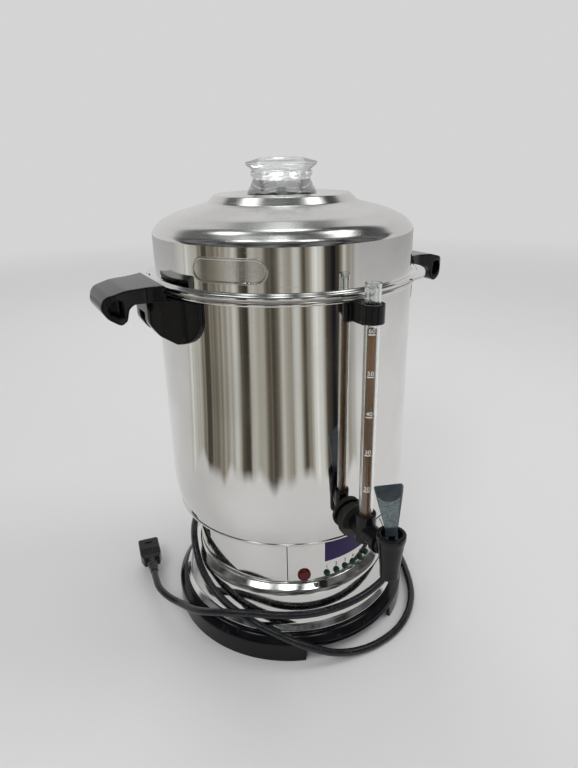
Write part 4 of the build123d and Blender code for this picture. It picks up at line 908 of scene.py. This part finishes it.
def underline(width, height, stops=9):
    """Flat bar in millimetres: its four corners at each of several stops along its width, so that it can be
    bent, with four sides between the stops and a cap at each end."""
    x = np.linspace(-width / 2, width / 2, stops)
    out, up = np.tile(box(-INK_DEPTH, INK_DEPTH, 0, height), (stops, 1)).T
    points = np.stack([np.repeat(x, 4), up, out], axis=-1)
    last = 4 * (stops - 1)
    i, j = np.meshgrid(np.arange(0, last, 4), np.arange(4), indexing="ij")
    on = (j + 1) % 4
    sides = np.stack([i + j, i + on, i + 4 + on, i + 4 + j], axis=-1).reshape(-1, 4)
    return points, [*map(tuple, sides.tolist()), (3, 2, 1, 0), tuple(range(last, last + 4))]


def make_tap():
    """Ribbed collar and the mouldings with eased edges. The collar is a turned ring, and near its edge its
    radius falls by a share times one plus the cosine of the azimuth times the number of ribs."""
    ring = rounded(box(COLLAR_BORE, COLLAR_RADIUS, COLLAR_INNER, COLLAR_OUTER), [0, 1.2, 1.4, 0])
    steps = 8 * COLLAR_RIBS
    grid = lathe_grid(ring, steps)
    turn = np.linspace(0, 2 * np.pi, steps, endpoint=False)
    out = np.clip((np.hypot(grid[..., 0], grid[..., 1]) - RIBS_FROM) / RIBS_RUN, 0, 1)
    wave = 1 - RIB_SHARE * out * (1 + np.cos(COLLAR_RIBS * turn))
    grid[..., 0] *= wave
    grid[..., 1] *= wave
    dress(skin("collar_skin", along_tap(grid), sharp=60), "urn", BLACK_RIBBED, "black_satin", "tap_collar")
    for nodes, voxel in (
        (("tap_body",), 0.33),
        (("tap_spout", "tap_cup"), 0.33),
        (("tap_joint_ring",), 0.3),
        (("gauge_bracket",), 0.33),
    ):
        dress(eased(nodes, voxel, 5), "urn", BLACK_SATIN, "black_satin", *nodes)
    dress(eased(["tap_lever"], 0.25, 3), "lever", LEVER_GREY, "lever_grey", "tap_lever")
    dress(eased(["tap_outer_washer"], 0.35, 3), "urn", RUBBER, "rubber", "tap_outer_washer")


def make_handles():
    """Both handles, with every edge eased."""
    for node in ("right_handle", "left_handle"):
        dress(eased([node], 0.6, 8), "urn", BLACK_GLOSS, "black_satin", node)


def make_lamps():
    """Lenses with eased edges."""
    dress(eased(["power_lamp_lens"], 0.28, 3), "urn", LENS_RED, "lens_red", "power_lamp_lens")
    dress(eased(["hour_lamp_lenses"], 0.22, 3), "urn", LENS_GREEN, "lens_green", "hour_lamp_lenses")


def make_badge():
    """Blank plate on the lid: the border stands out and the field lies lower, both bent to the lid."""
    dress(eased(["lid_badge"], 0.3, 3), "lid", BADGE_STEEL, "polished_steel", "lid_badge")


def make_cord():
    """Cord as a smooth spline on its route, with its relief and plug, and the gland at its exit."""
    heading = math.radians(PLUG_HEADING)
    end = Vector(PLUG_START)
    points = [polar(*stop) for stop in CORD_ROUTE] + [Vector(stop) for stop in CORD_BESIDE_PLUG]
    points += [end - PLUG_STRAIGHT * Vector((math.cos(heading), math.sin(heading), 0)), end]
    curve = bpy.data.curves.new("mains_cord", "CURVE")
    curve.dimensions = "3D"
    curve.bevel_depth = CORD_RADIUS * MM
    curve.bevel_resolution = 6
    curve.use_fill_caps = True
    spline = curve.splines.new("NURBS")
    spline.points.add(len(points) - 1)
    flat = [value for point in points for value in (*(point * MM), 1.0)]
    spline.points.foreach_set("co", flat)
    spline.order_u = 3
    spline.use_endpoint_u = True
    spline.resolution_u = 10
    piece = bpy.data.objects.new("mains_cord", curve)
    bpy.context.collection.objects.link(piece)
    dress(piece, "urn", VINYL, "cord_black", "cord")
    relief = dress(eased(["plug_relief"], 0.3, 3), "urn", VINYL, "cord_black", "plug_relief")
    plug = dress(eased(["plug_body"], 0.35, 4), "urn", BLACK_SATIN, "cord_black", "plug_body")
    dress(eased(["cord_gland"], 0.3, 3), "urn", RUBBER, "rubber", "cord_gland")


def finish_cad_nodes():
    """Materials of the CAD nodes that stay as they are."""
    kept = {
        PLATED: [
            "bottom_cover",
            "base_studs",
            "base_nuts",
            "handle_screws",
            "handle_nuts",
            "lever_pin",
            "gauge_screw",
        ],
        PLAIN_STEEL: ["heater_well", "main_heater", "tap_spring"],
        STEEL: ["lid_ears"],
        BRASS: ["well_nut", "plug_blades"],
        ALUMINIUM: ["keep_warm_heater", "thermostat", "pump_tube", "basket", "basket_cover"],
        WHITE_PLASTIC: ["thermal_fuse", "terminal_block", "tap_shank_nut"],
        SILICONE: ["well_gaskets", "wiring", "lid_seal", "tap_inner_washer", "tap_seat", "gauge_seal"],
        BLACK_SATIN: ["lamp_holder", "tap_stem"],
        BOARD: ["lamp_board"],
    }
    for material, nodes in kept.items():
        for node in nodes:
            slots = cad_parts[node].data.materials
            slots.clear()
            slots.append(material)


def floor_paper():
    """Pale paper that fades into the backdrop far away. Metal sees it only near the urn, and beyond that
    a room in upright streaks, which lies in front of the urn."""
    paper = Finish("floor_paper", (0.70, 0.70, 0.70), roughness=0.9)
    paper.join(paper.mix(paper.grain(3.0), (0.69, 0.69, 0.69), (0.71, 0.71, 0.71)), "Base Color")
    tree = paper.tree
    distance, way = tree.nodes.new("ShaderNodeVectorMath"), tree.nodes.new("ShaderNodeVectorMath")
    for node, operation in ((distance, "LENGTH"), (way, "NORMALIZE")):
        node.operation = operation
        tree.links.new(paper.place, node.inputs[0])
    distance, way = distance.outputs["Value"], way.outputs["Vector"]
    fade = paper.span(distance, *FLOOR_FADE)
    backdrop = paper.glow("ShaderNodeEmission", BACKDROP)
    paper.layer(paper.times(fade, paper.path["Is Camera Ray"]), backdrop)
    paper.place = way
    streaks = paper.grain(3.3, detail=4.0)
    tips = paper.grain(3.6, turn=(0, 0, 1.0), detail=1.0)
    start = paper.math("SUBTRACT", distance, paper.times(tips, ROOM_TIPS))
    beyond = paper.span(start, *ROOM_START)
    turn = math.radians(ROOM_AZIMUTH)
    towards = paper.span(paper.along((math.sin(turn), -math.cos(turn), 0)), *ROOM_SIDES)
    seen = paper.times(beyond, towards, paper.path["Is Glossy Ray"])
    paper.layer(seen, paper.glow("ShaderNodeEmission", paper.ramp(streaks, ROOM_TONES)))
    return paper.material


def make_world():
    """World of plain light. The camera sees the backdrop, also through clear pieces; metal sees it only
    behind the urn, and elsewhere a dim ceiling with soft lamps."""
    world = bpy.data.worlds.new("studio")
    bpy.context.scene.world = world
    world.use_nodes = True
    plain = world.node_tree.nodes["Background"].inputs
    plain["Color"].default_value = (*PLAIN_LIGHT, 1)
    plain["Strength"].default_value = PLAIN_STRENGTH
    sky = Nodes(world.node_tree, "Generated", "World Output")
    light = sky.span(sky.grain(4.0, (1, 1, 0.5)), 0.35, 0.70, *CEILING_LIGHT)
    for azimuth, rise, reach, strength in CEILING_LAMPS:
        turn, rise = math.radians(azimuth), math.radians(rise)
        way = (math.sin(turn) * math.cos(rise), -math.cos(turn) * math.cos(rise), math.sin(rise))
        spot = sky.span(sky.along(way), math.cos(math.radians(reach)), 1.0)
        light = sky.math("ADD", light, sky.times(sky.math("POWER", spot, LAMP_FALL), strength))
    tones = sky.ramp(light, ((0.0, (0.0, 0.0, 0.0)), (1.0, (0.96, 1.0, 1.0))))
    ceiling = sky.glow("ShaderNodeBackground", tones, sky.math("MAXIMUM", light, 1.0))
    turn = math.radians(EYE_TURN)
    ahead = sky.along((math.sin(turn), math.cos(turn), 0))
    slope = sky.math("SUBTRACT", sky.times(ahead, BACKDROP_RISE), sky.along((0, 0, 1)))
    sky.layer(sky.path["Is Glossy Ray"], ceiling)
    behind = sky.times(sky.span(slope, *BACKDROP_EDGE), sky.path["Is Glossy Ray"])
    through = sky.span(sky.path["Transmission Depth"], 0.5, 1.0, 0.0, SEEN_THROUGH)
    seen = sky.math("MAXIMUM", sky.math("MAXIMUM", behind, through), sky.path["Is Camera Ray"])
    sky.layer(seen, sky.glow("ShaderNodeBackground", BACKDROP))


def make_studio():
    """Pale floor, the world, and soft lamps overhead that metal doesn't mirror."""
    sides = (-FLOOR_REACH, FLOOR_REACH)
    floor = np.array([[(x, y, 0.0) for y in sides] for x in sides])
    piece = skin("floor", floor, round_rows=False, round_columns=False)
    piece.data.materials.append(floor_paper())
    make_world()
    for name, place, size, power in SOFT_LAMPS:
        lamp = bpy.data.lights.new(name, "AREA")
        lamp.size = size * MM
        lamp.energy = power
        owner = bpy.data.objects.new(name, lamp)
        owner.location = Vector(place) * MM
        aim = Vector(LAMP_AIM) - Vector(place)
        owner.rotation_mode = "QUATERNION"
        owner.rotation_quaternion = aim.to_track_quat("-Z", "Y")
        owner.visible_glossy = False
        bpy.context.collection.objects.link(owner)


make_camera()
make_cord()
make_tank()
make_neck()
make_flare()
make_ring()
make_lid()
make_knob()
make_label()
make_gauge()
make_tap()
make_handles()
make_lamps()
make_badge()
finish_cad_nodes()
make_studio()

bpy.context.scene.view_settings.view_transform = "Standard"
